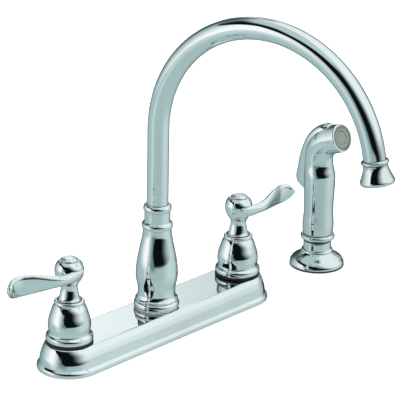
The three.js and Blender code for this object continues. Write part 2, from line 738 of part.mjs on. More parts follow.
function guideWasher() {
  return ring(guideShankRadius + gap, washerRadius, -deckGap - washerThickness, -deckGap);
}

function guideNut() {
  const high = -deckGap - washerThickness - gap;
  return hexagon(nutFlats, high - nutHeight, high)
    .subtract(rod(guideShankRadius + gap, high - nutHeight - 1, high + 1));
}

add('spray_guide', sprayGuide(), chrome, sprayAxis);
add('spray_guide_washer', guideWasher(), rubber, sprayAxis);
add('spray_guide_nut', guideNut(), blackPlastic, sprayAxis);

// ---- sprayer ------------------------------------------------------------------------

const collarFoot = guideHeight + gap;
const sprayFoot = collarFoot + collarHeight + gap;
const stubTop = sprayFoot + 13; // top of the coupling inside the grip
const bendFoot = sprayFoot + sprayGripHeight;
const aim = new THREE.Vector3(0, -Math.cos(radians(sprayTilt)), Math.sin(radians(sprayTilt)));
const sprayTurn = radians(90 - sprayTilt);
const bendDepth = sprayBend * (1 - Math.cos(sprayTurn));
const headLength = (sprayReach - bendDepth) / Math.cos(radians(sprayTilt));
const bendArc = sprayBend * sprayTurn;

// Middle line of the sprayer in the plane of the handle: straight grip, bend, straight head.
function sprayLine(distance) {
  const straight = Math.min(distance, sprayGripHeight);
  const turn = THREE.MathUtils.clamp((distance - sprayGripHeight) / sprayBend, 0, sprayTurn);
  const head = Math.max(0, distance - sprayGripHeight - bendArc);
  const centre = new THREE.Vector3(0, -sprayBend * (1 - Math.cos(turn)),
    sprayFoot + straight + sprayBend * Math.sin(turn)).addScaledVector(aim, head);
  const ahead = new THREE.Vector3(0, -Math.sin(turn), Math.cos(turn));
  return { centre, ahead };
}

const faceCentre = sprayLine(sprayGripHeight + bendArc + headLength).centre;

function sprayShell(stations, sides) {
  const sideways = new THREE.Vector3(1, 0, 0);
  return loft(stations.map(([distance, r]) => {
    const { centre, ahead } = sprayLine(distance);
    const across = new THREE.Vector3().crossVectors(ahead, sideways);
    return Array.from({ length: sides }, (_, i) => {
      const a = (i / sides) * 2 * Math.PI;
      return centre.clone().addScaledVector(sideways, r * Math.cos(a)).addScaledVector(across, r * Math.sin(a));
    });
  }));
}

const recessDepth = 9.7; // flat back under the trigger, from the axis
const recessFoot = sprayFoot + 0.52 * sprayGripHeight;
const grooveFloor = 4; // bottom of the grooves for the trigger's sides, from the axis
const clearOfHead = 2 * sprayBend; // well outside the head
const bendCentre = new THREE.Vector3(0, -sprayBend, bendFoot);

// A point over the bend: its distance from the centre of the bend and its angle above the
// horizontal.
const overBend = (distance, angle) => new THREE.Vector3(0, distance * Math.cos(radians(angle)),
  distance * Math.sin(radians(angle))).add(bendCentre);
const pivotAngle = 50;
const pivot = overBend(sprayBend + 7, pivotAngle);
const triggerEnd = 72; // degrees over the bend, where the trigger's upper end lies
const triggerTip = bendFoot - 0.31 * sprayGripHeight; // where the trigger stands off most
const plungerZ = bendFoot - 2;
const plungerShoulder = 3; // in front of the axis
const valveBoreDepth = 9; // in front of the axis

// Side views: a point as [y, z], and a place given from the pivot, outwards and along the
// trigger.
const sideView = (point) => [point.y, point.z];
const fromPivot = ([out, along]) => {
  const c = Math.cos(radians(pivotAngle));
  const s = Math.sin(radians(pivotAngle));
  return [pivot.y + out * c - along * s, pivot.z + out * s + along * c];
};

// The extruded side view of something that is flat across, such as the recess.
function acrossExtrude(points, width) {
  const shape = new THREE.Shape(points.map(([y, z]) => new THREE.Vector2(y, z)));
  const geometry = new THREE.ExtrudeGeometry(shape, { depth: width, bevelEnabled: false });
  geometry.translate(0, 0, -width / 2);
  const axes = new THREE.Matrix4().makeBasis(new THREE.Vector3(0, 1, 0), new THREE.Vector3(0, 0, 1),
    new THREE.Vector3(1, 0, 0));
  return solid(geometry.applyMatrix4(axes));
}

function sprayBody() {
  const end = sprayGripHeight + bendArc + headLength;
  const r = sprayRadius;
  const bend = [0, 1, 2, 3, 4, 5].map((k) => [sprayGripHeight + (k / 5) * bendArc, r + 0.5 - 0.24 * k]);
  const shell = sprayShell([[0, r - 0.6], [1.2, r], [9, r + 0.5], [20, r], [28, r - 0.1], [42, r + 0.5],
    [58, r + 0.8], ...bend, [end - 1, r - 0.8], [end, r - 1.2]], medium);
  const hoseSocket = rod(guideBore, sprayFoot - 1, stubTop + gap);
  const riser = rod(4.5, sprayFoot, plungerZ, coarse);
  const valveBore = rodBetween(new THREE.Vector3(0, -valveBoreDepth, plungerZ),
    new THREE.Vector3(0, clearOfHead, plungerZ), plungerRadius + gap, coarse);
  const mouth = rodBetween(faceCentre.clone().addScaledVector(aim, -faceThickness - 1),
    faceCentre.clone().addScaledVector(aim, 2), faceRadius + gap, medium);
  const waterway = rodBetween(new THREE.Vector3(0, 0, plungerZ), faceCentre, 4.2, coarse);
  const seat = [0, 0.2, 0.4, 0.6, 0.8, 1].map((k) => overBend(sprayBend + recessDepth, k * (triggerEnd + 1)));
  const recess = acrossExtrude([[recessDepth, recessFoot + 3], [clearOfHead, recessFoot - 6],
    [clearOfHead, pivot.z + clearOfHead], ...[overBend(1.5 * clearOfHead, triggerEnd + 6),
      overBend(clearOfHead, triggerEnd + 6), ...seat.reverse()].map(sideView)], 2 * clearOfHead);
  const foot = recessFoot + 1.6; // lower end of the grooves
  const floor = [[7, 13], [7.9, 30], [8.5, 50], [8.5, triggerEnd + 1]]
    .map(([out, angle]) => sideView(overBend(sprayBend + out, angle)));
  const above = [sideView(overBend(clearOfHead, triggerEnd + 1)), [clearOfHead, pivot.z + sprayBend]];
  const side = [[grooveFloor, foot], [grooveFloor + 2.2, bendFoot], ...floor, ...above, [clearOfHead, foot]];
  const grooves = [-1, 1].map((sign) => acrossExtrude(side, triggerThickness + 3 * gap)
    .translate([sign * (triggerHalfWidth - triggerThickness / 2), 0, 0]));
  const chinRoom = acrossExtrude([[grooveFloor + 2, foot], [grooveFloor + 2, triggerTip - 2],
    [clearOfHead, triggerTip - 2], [clearOfHead, foot]], 2 * triggerHalfWidth);
  const lugSlot = acrossExtrude([[-3.6, -3.6], [-3.6, 3.6], [15, 7], [15, -7]].map(fromPivot),
    lugWidth + 2 * gap);
  const pinHole = rodBetween(pivot.clone().setX(-30), pivot.clone().setX(30), pinRadius + gap / 2, 12);
  return [hoseSocket, riser, valveBore, mouth, waterway, recess, ...grooves, chinRoom, lugSlot, pinHole]
    .reduce((a, b) => a.subtract(b), shell);
}

// The face of the sprayer: a grey disc with a ring of jets near its rim and a shallow
// round step in the middle. It is made lying flat and then turned to the head's direction.
function sprayFace() {
  const disc = turned([[0, -faceThickness + gap], [faceRadius - 0.6, -faceThickness + gap],
    [faceRadius, -faceThickness + 1], [faceRadius, -0.9], [faceRadius - 0.6, -0.3],
    [jetRing - 3, -0.3], [jetRing - 3.4, -1], [0, -1]], medium);
  let body = disc;
  for (let i = 0; i < faceHoles; i++) {
    const a = (i / faceHoles) * 2 * Math.PI;
    body = body.subtract(rod(0.6, -2, 1, 5).translate([jetRing * Math.cos(a), jetRing * Math.sin(a), 0]));
  }
  return body;
}

const faceGroup = new THREE.Group();
faceGroup.position.copy(faceCentre);
faceGroup.quaternion.setFromUnitVectors(new THREE.Vector3(0, 0, 1), aim);
sprayAxis.add(faceGroup);

// The coupling sits on the hose end: a cone that rests in the guide and a stub that the
// sprayer turns on.
function sprayCoupling() {
  return turned([
    [4, couplingFoot], [guideBore - 3, couplingFoot], [guideBore - gap, couplingFoot + 5],
    [guideBore - gap, collarFoot + collarHeight], [guideBore - gap, stubTop - 1], [guideBore - 1.3, stubTop],
    [4, stubTop],
  ], medium);
}

function sprayCollar() {
  const r = collarRadius;
  const z = (share) => collarFoot + share * collarHeight;
  return turned([[guideBore, z(0)], [r - 1.8, z(0)], [r - 0.5, z(0.2)], [r, z(0.5)], [r - 0.5, z(0.8)],
    [r - 1.8, z(1)], [guideBore, z(1)]], fine);
}

// The trigger is a hood over the back of the sprayer and the bend above it: an arched back
// with two sides that stand in grooves of the body. Its ridge is given from the tip upwards,
// with the share of the full width in the place of x.
function trigger() {
  const back = sprayRadius + triggerStandOff;
  const over = sprayBend + sprayRadius;
  const lower = [[-7.8, -8, 0.97], [-3.7, -6.2, 0.98], [-1, -3.6, 1], [0.1, 1, 1], [-0.9, 7, 1],
    [-3.2, 20, 1]].map(([out, up, wide]) => new THREE.Vector3(wide, back + out, triggerTip + up));
  const upper = [[3.2, 13, 1], [2.1, 32, 0.98], [1.6, 50, 0.93], [1.1, triggerEnd - 9, 0.82],
    [0.5, triggerEnd, 0.6]].map(([out, angle, wide]) => overBend(over + out, angle).setX(wide));
  const ridge = new THREE.CatmullRomCurve3([...lower, ...upper]);
  const half = 4; // points from the ridge to each edge
  const steps = 13;
  const shell = loft(Array.from({ length: steps + 1 }, (_, i) => {
    const at = ridge.getPoint(i / steps);
    const outward = at.clone().setX(0).sub(bendCentre);
    if (at.z < bendFoot) outward.z = 0;
    const sunk = Math.min(gap, 14 * (1 - at.x) - triggerDepth); // narrow parts stay above the recess
    const tall = outward.length() - sprayBend - recessDepth - sunk;
    outward.normalize();
    const wide = triggerHalfWidth * at.x;
    const arch = (inset, sign) => Array.from({ length: 2 * half + 1 }, (__, k) => {
      const a = (sign * (k - half) * Math.PI) / (2 * half);
      const drop = tall - (tall - inset) * Math.abs(Math.cos(a)) ** 0.8;
      const x = Math.sign(a) * (wide - 0.9 * inset) * Math.abs(Math.sin(a)) ** 0.8;
      return new THREE.Vector3(x, at.y, at.z).addScaledVector(outward, -drop);
    });
    return [...arch(0, 1), ...arch(triggerThickness, -1)];
  }));
  const lug = acrossExtrude([[-2.8, -2], [-2.8, 2], [-1.5, 2.8], [3, 3.2], [6.6, 4.4], [6.6, -4.4],
    [3, -3.2], [-1.5, -2.8]].map(fromPivot), lugWidth);
  const hole = rodBetween(pivot.clone().setX(-9), pivot.clone().setX(9), pinRadius + gap / 2, 12);
  return shell.add(lug).subtract(hole);
}

// The valve plunger: a round nose against the trigger, a shoulder that the spring pushes
// on and a thin tail inside the spring.
function plunger() {
  const nose = sprayRadius + 3.1; // just inside the trigger
  const shape = turned([
    [0, -plungerShoulder - 3], [plungerRadius - 1.7, -plungerShoulder - 3],
    [plungerRadius - 1.7, -plungerShoulder], [plungerRadius, -plungerShoulder],
    [plungerRadius, nose - 1.4], [plungerRadius - 1.3, nose - 0.3], [0, nose],
  ], coarse);
  return shape.rotate([-90, 0, 0]).translate([0, 0, plungerZ]);
}

function triggerSpring() {
  const length = valveBoreDepth - plungerShoulder - 2 * gap;
  return coilSpring(plungerRadius - 0.8, 0.45, length, 3).rotate([90, 0, 0])
    .translate([0, -plungerShoulder - gap, plungerZ]);
}

function pivotPin() {
  const reach = Math.sqrt(sprayRadius ** 2 - 7 ** 2) - 0.8;
  return rodBetween(pivot.clone().setX(-reach), pivot.clone().setX(reach), pinRadius - gap / 2, 12);
}

add('spray_coupling', sprayCoupling(), blackPlastic, sprayAxis);
add('spray_collar', sprayCollar(), chrome, sprayAxis);
add('spray_body', sprayBody(), chrome, sprayAxis);
add('spray_face', sprayFace(), greyPlastic, faceGroup);
add('spray_trigger', trigger(), chrome, sprayAxis);
add('trigger_pin', pivotPin(), steel, sprayAxis);
add('trigger_spring', triggerSpring(), steel, sprayAxis);
add('spray_plunger', plunger(), nylon, sprayAxis);

export default group;
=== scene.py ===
import json
import math
from functools import partial

import bmesh
import bpy
from mathutils import Matrix, Vector
from mathutils.geometry import interpolate_bezier


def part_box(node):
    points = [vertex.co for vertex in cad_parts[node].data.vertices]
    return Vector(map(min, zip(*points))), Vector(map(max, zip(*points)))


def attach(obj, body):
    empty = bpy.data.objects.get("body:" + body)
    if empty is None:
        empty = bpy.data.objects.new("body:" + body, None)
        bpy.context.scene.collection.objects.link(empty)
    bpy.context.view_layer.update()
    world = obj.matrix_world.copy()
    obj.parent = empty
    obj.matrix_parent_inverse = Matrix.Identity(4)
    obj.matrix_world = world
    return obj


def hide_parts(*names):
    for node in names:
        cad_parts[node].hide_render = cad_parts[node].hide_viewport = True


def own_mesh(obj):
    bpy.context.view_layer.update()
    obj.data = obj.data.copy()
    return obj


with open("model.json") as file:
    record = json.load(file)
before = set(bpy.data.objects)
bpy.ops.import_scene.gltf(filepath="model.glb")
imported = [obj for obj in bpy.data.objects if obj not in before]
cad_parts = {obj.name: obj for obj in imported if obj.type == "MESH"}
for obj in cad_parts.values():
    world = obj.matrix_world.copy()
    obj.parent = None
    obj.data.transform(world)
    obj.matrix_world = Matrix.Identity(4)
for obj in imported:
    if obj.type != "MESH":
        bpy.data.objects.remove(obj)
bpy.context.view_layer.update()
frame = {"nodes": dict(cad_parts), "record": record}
scene = bpy.context.scene
mm = 0.001
print("frame loaded:", len(frame["nodes"]), "nodes")

# sizes that several pieces share, in millimetres, the same as in the solids
faucet = {
    "handleSpacing": 203.2,
    "sprayerX": 210.0,
    "plateHeight": 22.0,
    "bellFoot": 24.2,
    "bellHeight": 34.0,
    "ballHeight": 25.0,
    "ballCrown": 8.0,
    "spoutAngle": math.radians(-81.3),
    "spoutFoot": 23.4,
    "spoutHeight": 89.0,
    "tubeRadius": 8.9,
    "gap": 0.3,
}
hotX, coldX = -faucet["handleSpacing"] / 2, faucet["handleSpacing"] / 2
bellTop = faucet["bellFoot"] + faucet["bellHeight"]
ballZ = bellTop + faucet["ballHeight"]
crownZ = ballZ + faucet["ballCrown"]
spoutTop = faucet["spoutFoot"] + faucet["spoutHeight"]
tubeRadius, sprayerX, gap = faucet["tubeRadius"], faucet["sprayerX"], faucet["gap"]


camera = {
    "azimuth": math.radians(-48.28),
    "elevation": math.radians(20.19),
    "roll": math.radians(1.05),
    "distance": 1.966,
    "lens": 212.6,
    "sensor": 36,
    "clipEnd": 50,
    "target": Vector((0.0519, 0, 0.1018)),
}


def makeCamera():
    a, e = camera["azimuth"], camera["elevation"]
    back = Vector((math.sin(a) * math.cos(e), -math.cos(a) * math.cos(e), math.sin(e)))
    right = Vector((math.cos(a), math.sin(a), 0))
    up = back.cross(right)
    c, s = math.cos(camera["roll"]), math.sin(camera["roll"])
    right, up = c * right + s * up, -s * right + c * up
    data = bpy.data.cameras.new("camera")
    data.lens, data.sensor_width, data.clip_end = camera["lens"], camera["sensor"], camera["clipEnd"]
    eye = bpy.data.objects.new("camera", data)
    turn = Matrix((right, up, back)).transposed()
    eye.matrix_world = Matrix.Translation(camera["target"] + back * camera["distance"]) @ turn.to_4x4()
    scene.collection.objects.link(eye)
    scene.camera = eye


makeCamera()
print("camera placed")


def addNode(tree, kind, values=None, **settings):  # a value may be a socket, or a node for its first output
    node = tree.nodes.new(kind)
    for key, value in settings.items():
        setattr(node, key, value)
    for key, value in (values or {}).items():
        if isinstance(value, bpy.types.Node):
            value = value.outputs[0]
        if isinstance(value, bpy.types.NodeSocket):
            tree.links.new(value, node.inputs[key])
        else:
            node.inputs[key].default_value = value
    return node


def mathNode(tree, operation, *values):
    return addNode(tree, "ShaderNodeMath", dict(enumerate(values)), operation=operation).outputs[0]


def smoothStep(tree, value, low, high):
    node = addNode(tree, "ShaderNodeMapRange", {"Value": value, "From Min": low, "From Max": high},
                   interpolation_type="SMOOTHSTEP")
    return node.outputs["Result"]


def mixColor(tree, share, first, second):
    return addNode(tree, "ShaderNodeMix", {0: share, 6: first, 7: second}, data_type="RGBA").outputs[2]


# the room that the chrome mirrors: a white tent at the left that fades backwards, a pale wall at the
# right, a black card between them, a grey floor and a grey ceiling
room = {
    "floor": (0.404, 0.537, 0.537, 1),
    "floorNear": (0.365, 0.49, 0.485, 1),
    "floorSide": (0.56, 0.675, 0.665, 1),
    "ceiling": (0.47, 0.59, 0.59, 1),
    "pale": (0.83, 0.91, 0.925, 1),
    "patch": (1.13, 1.16, 1.18, 1),  # mirrored at a low angle, where the chrome's slant tint takes a part
    "patchSide": (0.87, 0.955, 0.955, 1),
    "white": (1, 1, 1, 1),
    "strip": (0.13, 0.215, 0.215, 1),
    "shade": (0.46, 0.60, 0.61, 1),
    "dusk": (0.068, 0.106, 0.11, 1),
    "black": (0.003, 0.005, 0.006, 1),
    "ambient": 0.62,
}
# where each soft edge in it starts and where it is complete, in degrees: sideways from the camera's
# side, left is minus, behind from either side, and heights from the horizon
edges = {
    "sideRight": (30, 75), "sideRightEnd": (135, 110), "sideLeft": (-80, -66), "sideLeftEnd": (-45, -56),
    "sideHeight": (-45, -18), "nearLeft": (-45, -8), "nearRight": (55, 12), "nearHeight": (-42, -14),
    "wall": (-15, 60), "wallFoot": (-3, 9), "wallBehind": (140, 165), "wallTop": (38, 52),
    "lowWall": (106, 138), "lowWallTop": (32, 18),
    "tent": (0, -15), "tentTop": (46, 38), "tentFoot": (-14, -5), "tentFade": (-160, -112),
    "tentShade": (-118, -70), "tentStrip": (-25, -68),
    "duskBehind": (150, 165), "duskFoot": (-14, -6), "duskTop": (16, 9),
    "patchBehind": (168, 173), "patchFoot": (11, 15), "patchTop": (36, 28), "patchSplit": (-0.04, 0.012),
    "outlineWidth": (7, 4), "outlineFoot": (-32, -26), "outlineTop": (14, 8),
}
outlineAt = 142.0  # a dark edge at the right that draws the outlines there
card = {
    "foot": -5.0,
    "rise": -0.62,  # how fast the lower edge climbs to the left
    "riseFrom": 20.0,
    "footMost": 32.0,
    "jump": 17.0,  # of the lower edge where the card becomes a band over the tent
    "jumpEdge": (-25, -28),
    "top": 43.0,
    "topLeft": 7.0,
    "topLeftEdge": (-50, -70),
    "topRight": 30.0,
    "topRightEdge": (-8, 12),
    "lean": 0.86,  # how fast the upper edge falls to the right
    "fade": (79, 25),
    "bandEnd": (-165, -110),
    "footBlur": (-2.5, 0.5),
    "topBlur": (5, -5),
}


def makeWorld():
    world = bpy.data.worlds.new("studio")
    scene.world = world
    world.use_nodes = True
    tree = world.node_tree
    tree.nodes.clear()
    a = camera["azimuth"]
    direction = addNode(tree, "ShaderNodeTexCoord").outputs["Generated"]
    split = addNode(tree, "ShaderNodeSeparateXYZ", {0: direction})
    calc = partial(mathNode, tree)

    def along(x, y):
        return calc("MULTIPLY_ADD", split.outputs[1], y, calc("MULTIPLY", split.outputs[0], x))

    def inside(*places):  # 1 where each place is past its soft edge
        share = None
        for value, edge in places:
            step = smoothStep(tree, value, *(edges[edge] if isinstance(edge, str) else edge))
            share = step if share is None else calc("MULTIPLY", share, step)
        return share

    def paint(over, color, *places):
        return mixColor(tree, inside(*places), over, room[color] if isinstance(color, str) else color)

    degrees = 180 / math.pi
    across = along(math.cos(a), math.sin(a))
    around = calc("MULTIPLY", calc("ARCTAN2", across, along(math.sin(a), -math.cos(a))), degrees)
    height = calc("MULTIPLY", calc("ARCSINE", split.outputs[2]), degrees)
    behind = calc("ABSOLUTE", around)

    right = inside((around, "sideRight"), (around, "sideRightEnd"))
    left = inside((around, "sideLeft"), (around, "sideLeftEnd"))
    sides = calc("MULTIPLY", calc("MAXIMUM", right, left), inside((height, "sideHeight")))
    floor = mixColor(tree, sides, room["floor"], room["floorSide"])
    floor = paint(floor, "floorNear", (around, "nearLeft"), (around, "nearRight"), (height, "nearHeight"))
    wall = paint(room["ceiling"], "pale", (around, "wall"))
    wall = paint(wall, "pale", (behind, "wallBehind"), (height, "wallTop"))
    wall = paint(wall, "floor", (around, "lowWall"), (height, "lowWallTop"))
    lit = paint(floor, wall, (height, "wallFoot"))
    tent = paint(room["dusk"], "shade", (around, "tentFade"))
    tent = paint(tent, "white", (around, "tentShade"))
    tent = paint(room["strip"], tent, (around, "tentStrip"))
    lit = paint(lit, tent, (around, "tent"), (height, "tentTop"), (height, "tentFoot"))
    lit = paint(lit, "dusk", (behind, "duskBehind"), (height, "duskFoot"), (height, "duskTop"))
    patch = paint(room["patch"], "patchSide", (across, "patchSplit"))  # mirrored by the plate's top
    lit = paint(lit, patch, (behind, "patchBehind"), (height, "patchFoot"), (height, "patchTop"))
    outline = calc("ABSOLUTE", calc("SUBTRACT", around, outlineAt))
    lit = paint(lit, "dusk", (outline, "outlineWidth"), (height, "outlineFoot"), (height, "outlineTop"))

    low = calc("MULTIPLY", calc("ADD", around, card["riseFrom"]), card["rise"])
    low = calc("MINIMUM", calc("MAXIMUM", low, card["foot"]), card["footMost"])
    jump = calc("MULTIPLY_ADD", inside((around, card["jumpEdge"])), card["jump"], card["foot"])
    low = calc("MAXIMUM", low, jump)
    top = calc("MULTIPLY_ADD", inside((around, card["topLeftEdge"])), card["topLeft"], card["top"])
    top = calc("MULTIPLY_ADD", inside((around, card["topRightEdge"])), card["topRight"], top)
    lean = calc("MULTIPLY_ADD", around, card["lean"], height)
    mirrored = paint(lit, "black", (calc("SUBTRACT", height, low), card["footBlur"]),
                     (calc("SUBTRACT", height, top), card["topBlur"]), (lean, card["fade"]),
                     (around, card["bandEnd"]))

    def light(color, strength):
        return addNode(tree, "ShaderNodeBackground", {"Color": color, "Strength": strength})

    rays = addNode(tree, "ShaderNodeLightPath").outputs
    seen = addNode(tree, "ShaderNodeMixShader", {
        0: rays["Is Glossy Ray"], 1: light(room["white"], room["ambient"]), 2: light(mirrored, 1.0)})
    seen = addNode(tree, "ShaderNodeMixShader", {
        0: rays["Is Camera Ray"], 1: seen, 2: light(room["white"], 1.0)})
    addNode(tree, "ShaderNodeOutputWorld", {0: seen})


ground = {
    "reach": 40,
    "height": -0.0004,
    "matte": (0.9, 0.9, 0.9, 1),
    "glow": 0.42,  # seen by the camera alone
    "plain": (0.8, 0.8, 0.8, 1),
}


def makeFloor():
    reach, z = ground["reach"], ground["height"]
    corners = [(-reach, -reach, z), (reach, -reach, z), (reach, reach, z), (-reach, reach, z)]
    mesh = bpy.data.meshes.new("floor")
    mesh.from_pydata(corners, [], [(0, 1, 2, 3)])
    floor = bpy.data.objects.new("floor", mesh)
    scene.collection.objects.link(floor)
    material = bpy.data.materials.new("floor")
    material.use_nodes = True
    tree = material.node_tree
    tree.nodes.clear()
    matte = addNode(tree, "ShaderNodeBsdfDiffuse", {"Color": ground["matte"]})
    glow = addNode(tree, "ShaderNodeEmission", {"Color": room["white"], "Strength": ground["glow"]})
    both = addNode(tree, "ShaderNodeAddShader", {0: matte, 1: glow})
    rays = addNode(tree, "ShaderNodeLightPath").outputs
    plain = addNode(tree, "ShaderNodeBsdfDiffuse", {"Color": ground["plain"]})
    shown = addNode(tree, "ShaderNodeMixShader", {0: rays["Is Camera Ray"], 1: plain, 2: both})
    addNode(tree, "ShaderNodeOutputMaterial", {0: shown})
    mesh.materials.append(material)
    floor.visible_glossy = False  # the chrome mirrors the room below the horizon too


lamps = {
    "leftTent": {"place": (-1.6, -0.9, 1.5), "size": 1.6, "watts": 24},
    "topTent": {"place": (0.3, -0.4, 2.2), "size": 2.0, "watts": 22},
}
lampTarget = Vector((0.05, 0, 0.1))


def makeLamp(name, place, size, watts):
    data = bpy.data.lights.new(name, "AREA")
    data.shape, data.size, data.energy = "SQUARE", size, watts
    lamp = bpy.data.objects.new(name, data)
    lamp.location = place
    lamp.rotation_mode = "QUATERNION"
    lamp.rotation_quaternion = (Vector(place) - lampTarget).to_track_quat("Z", "Y")
    lamp.visible_glossy = False
    scene.collection.objects.link(lamp)


makeWorld()
makeFloor()
for name, lamp in lamps.items():
    makeLamp(name, **lamp)
scene.view_settings.view_transform = "Standard"
print("studio built")


finishes = {  # colour, metallic, roughness from and to, patches in a metre, bump
    "chrome": ((0.93, 0.965, 0.97), 1, (0.008, 0.03), 9, 0),
    "brass": ((0.72, 0.53, 0.27), 1, (0.24, 0.4), 60, 0.15),
    "steel": ((0.62, 0.63, 0.64), 1, (0.22, 0.34), 90, 0.1),
    "rubber": ((0.012, 0.012, 0.013), 0, (0.5, 0.7), 160, 0.3),
    "nylon": ((0.80, 0.79, 0.74), 0, (0.4, 0.55), 70, 0.15),
    "grey_plastic": ((0.26, 0.31, 0.265), 0, (0.38, 0.5), 120, 0.2),
    "black_plastic": ((0.02, 0.021, 0.023), 0, (0.35, 0.5), 100, 0.2),
    "red_mark": ((0.62, 0.05, 0.05), 0, (0.25, 0.35), 100, 0),
    "blue_mark": ((0.04, 0.12, 0.55), 0, (0.25, 0.35), 100, 0),
    # painted shade: a near-black finish for the ring that makes the spray jets look dark
    "jet_painted_shade": ((0.01, 0.012, 0.012), 0, (0.6, 0.7), 100, 0),
}
surface = {
    "slant": (0.34, 0.38, 0.38, 1),  # tint of chrome that is seen at a slant
    "worn": 0.9,  # share of its colour that a worn patch keeps
    "wornEdge": (0.42, 0.72),
    "glossEdge": (0.35, 0.7),
    "skin": 12,  # how much finer the bumps are than the patches
    "bumpHeight": 0.0004,
}


def makeMaterial(name, color, metallic, roughness, grain, bump):
    material = bpy.data.materials.new(name)
    material.use_nodes = True
    tree = material.node_tree
    shader = tree.nodes["Principled BSDF"]
    place = addNode(tree, "ShaderNodeTexCoord").outputs["Object"]
    patches = addNode(tree, "ShaderNodeTexNoise", {
        "Vector": place, "Scale": grain, "Detail": 4, "Roughness": 0.55})
    gloss = addNode(tree, "ShaderNodeMapRange", {
        "Value": patches.outputs["Fac"], "From Min": surface["glossEdge"][0],
        "From Max": surface["glossEdge"][1], "To Min": roughness[0], "To Max": roughness[1]})
    tree.links.new(gloss.outputs["Result"], shader.inputs["Roughness"])
    worn = tuple(c * surface["worn"] for c in color) + (1,)
    share = smoothStep(tree, patches.outputs["Fac"], *surface["wornEdge"])
    tone = mixColor(tree, share, color + (1,), worn)
    tree.links.new(tone, shader.inputs["Base Color"])
    shader.inputs["Metallic"].default_value = metallic
    if name == "chrome":
        shader.inputs["Specular Tint"].default_value = surface["slant"]
    if bump:
        skin = addNode(tree, "ShaderNodeTexNoise", {
            "Vector": place, "Scale": grain * surface["skin"], "Detail": 3})
        rise = addNode(tree, "ShaderNodeBump", {
            "Height": skin.outputs["Fac"], "Strength": bump, "Distance": surface["bumpHeight"]})
        tree.links.new(rise.outputs["Normal"], shader.inputs["Normal"])
    return material


materials = {name: makeMaterial(name, *look) for name, look in finishes.items()}
for subpart in frame["record"]["subparts"]:
    node = frame["nodes"][subpart["node"]]
    node.data.materials.clear()
    node.data.materials.append(materials[subpart["material_slot"]])
print("materials made:", len(materials))


def softRun(points, steps):  # a smooth line through the points
    line = [points[0]]
    for i in range(len(points) - 1):
        a, b = points[i], points[i + 1]
        reach = (b - a).length / 3
        outOfA = (b - points[i - 1]).normalized() * reach if i else (b - a) / 3
        intoB = (points[i + 2] - a).normalized() * reach if i + 2 < len(points) else (b - a) / 3
        line += interpolate_bezier(a, a + outOfA, b - intoB, b, steps + 1)[1:]
    return line


def softLine(points, steps=4):  # the same in a plane, with a corner where a third value is given
    runs, run = [], []
    for p in points:
        run.append(Vector((p[0], p[1], 0)))
        if len(p) > 2 and len(run) > 1:
            runs.append(run)
            run = [run[-1]]
    if len(run) > 1:
        runs.append(run)
    line = runs[0][:1]
    for run in runs:
        line += softRun(run, steps)[1:]
    return [(p.x, p.y) for p in line]


def tableValue(line, at):  # a value read off a line of points [place, value], none outside it
    for (low, first), (high, second) in zip(line, line[1:]):
        if low <= at <= high:
            return first + (second - first) * (at - low) / (high - low)
    return 0


def makeMesh(name, verts, faces, sharp=30):
    mesh = bpy.data.meshes.new(name)
    work = bmesh.new()
    made = [work.verts.new(Vector(v) * mm) for v in verts]
    for face in faces:
        ids = list(dict.fromkeys(face))
        if len(ids) > 2:
            work.faces.new([made[i] for i in ids])
    bmesh.ops.recalc_face_normals(work, faces=work.faces[:])
    work.to_mesh(mesh)
    work.free()
    mesh.shade_smooth()
    mesh.set_sharp_from_angle(angle=math.radians(sharp))
    piece = bpy.data.objects.new(name, mesh)
    scene.collection.objects.link(piece)
    return piece


def ringFaces(rings, closed):
    faces = []
    pairs = list(zip(rings, rings[1:])) + ([(rings[-1], rings[0])] if closed else [])
    for lower, upper in pairs:
        count = max(len(lower), len(upper))
        for i in range(count):
            j = (i + 1) % count
            faces.append([lower[i % len(lower)], lower[j % len(lower)],
                          upper[j % len(upper)], upper[i % len(upper)]])
    return faces


def circle(radius, sides):
    return [(radius * math.cos(2 * math.pi * k / sides), radius * math.sin(2 * math.pi * k / sides))
            for k in range(sides)]


def turnedMesh(name, line, x=0, sides=96, sharp=30):
    verts, rings = [], []
    for r, z in line:
        ring = [(x + across, y, z) for across, y in circle(r, sides)[:1 if r < 1e-6 else sides]]
        rings.append(list(range(len(verts), len(verts) + len(ring))))
        verts += ring
    return makeMesh(name, verts, ringFaces(rings, line[0][0] > 1e-6), sharp)


def loftMesh(name, rings, sharp=30):
    verts, numbers = [], []
    for ring in rings:
        numbers.append(list(range(len(verts), len(verts) + len(ring))))
        verts += ring
    caps = [ends for ends in (numbers[0][::-1], numbers[-1]) if len(ends) > 2]
    return makeMesh(name, verts, ringFaces(numbers, False) + caps, sharp)


def roundBar(name, start, end, radius, sides=32):
    turn = Vector((0, 0, 1)).rotation_difference((end - start).normalized())
    ring = [turn @ Vector((*spot, 0)) for spot in circle(radius, sides)]
    return loftMesh(name, [[p + spot for spot in ring] for p in (start, end)])


def asPlainMesh(piece, sharp=30):
    bpy.context.view_layer.update()
    evaluated = piece.evaluated_get(bpy.context.evaluated_depsgraph_get())
    mesh = bpy.data.meshes.new_from_object(evaluated)
    piece.modifiers.clear()
    old = piece.data
    piece.data = mesh
    bpy.data.meshes.remove(old)
    mesh.shade_smooth()
    mesh.set_sharp_from_angle(angle=math.radians(sharp))
    return piece


def cutOrJoin(piece, tools, operation, sharp=30):
    for tool in tools:
        change = piece.modifiers.new("cut", "BOOLEAN")
        change.operation, change.object, change.solver = operation, tool, "EXACT"
    asPlainMesh(piece, sharp)
    for tool in tools:
        bpy.data.objects.remove(tool)
    return piece


def placed(piece, spot, ahead):  # turned from +z to ahead and moved to the spot
    turn = Vector((0, 0, 1)).rotation_difference(ahead).to_matrix().to_4x4()
    piece.data.transform(Matrix.Translation(spot * mm) @ turn)
    return piece


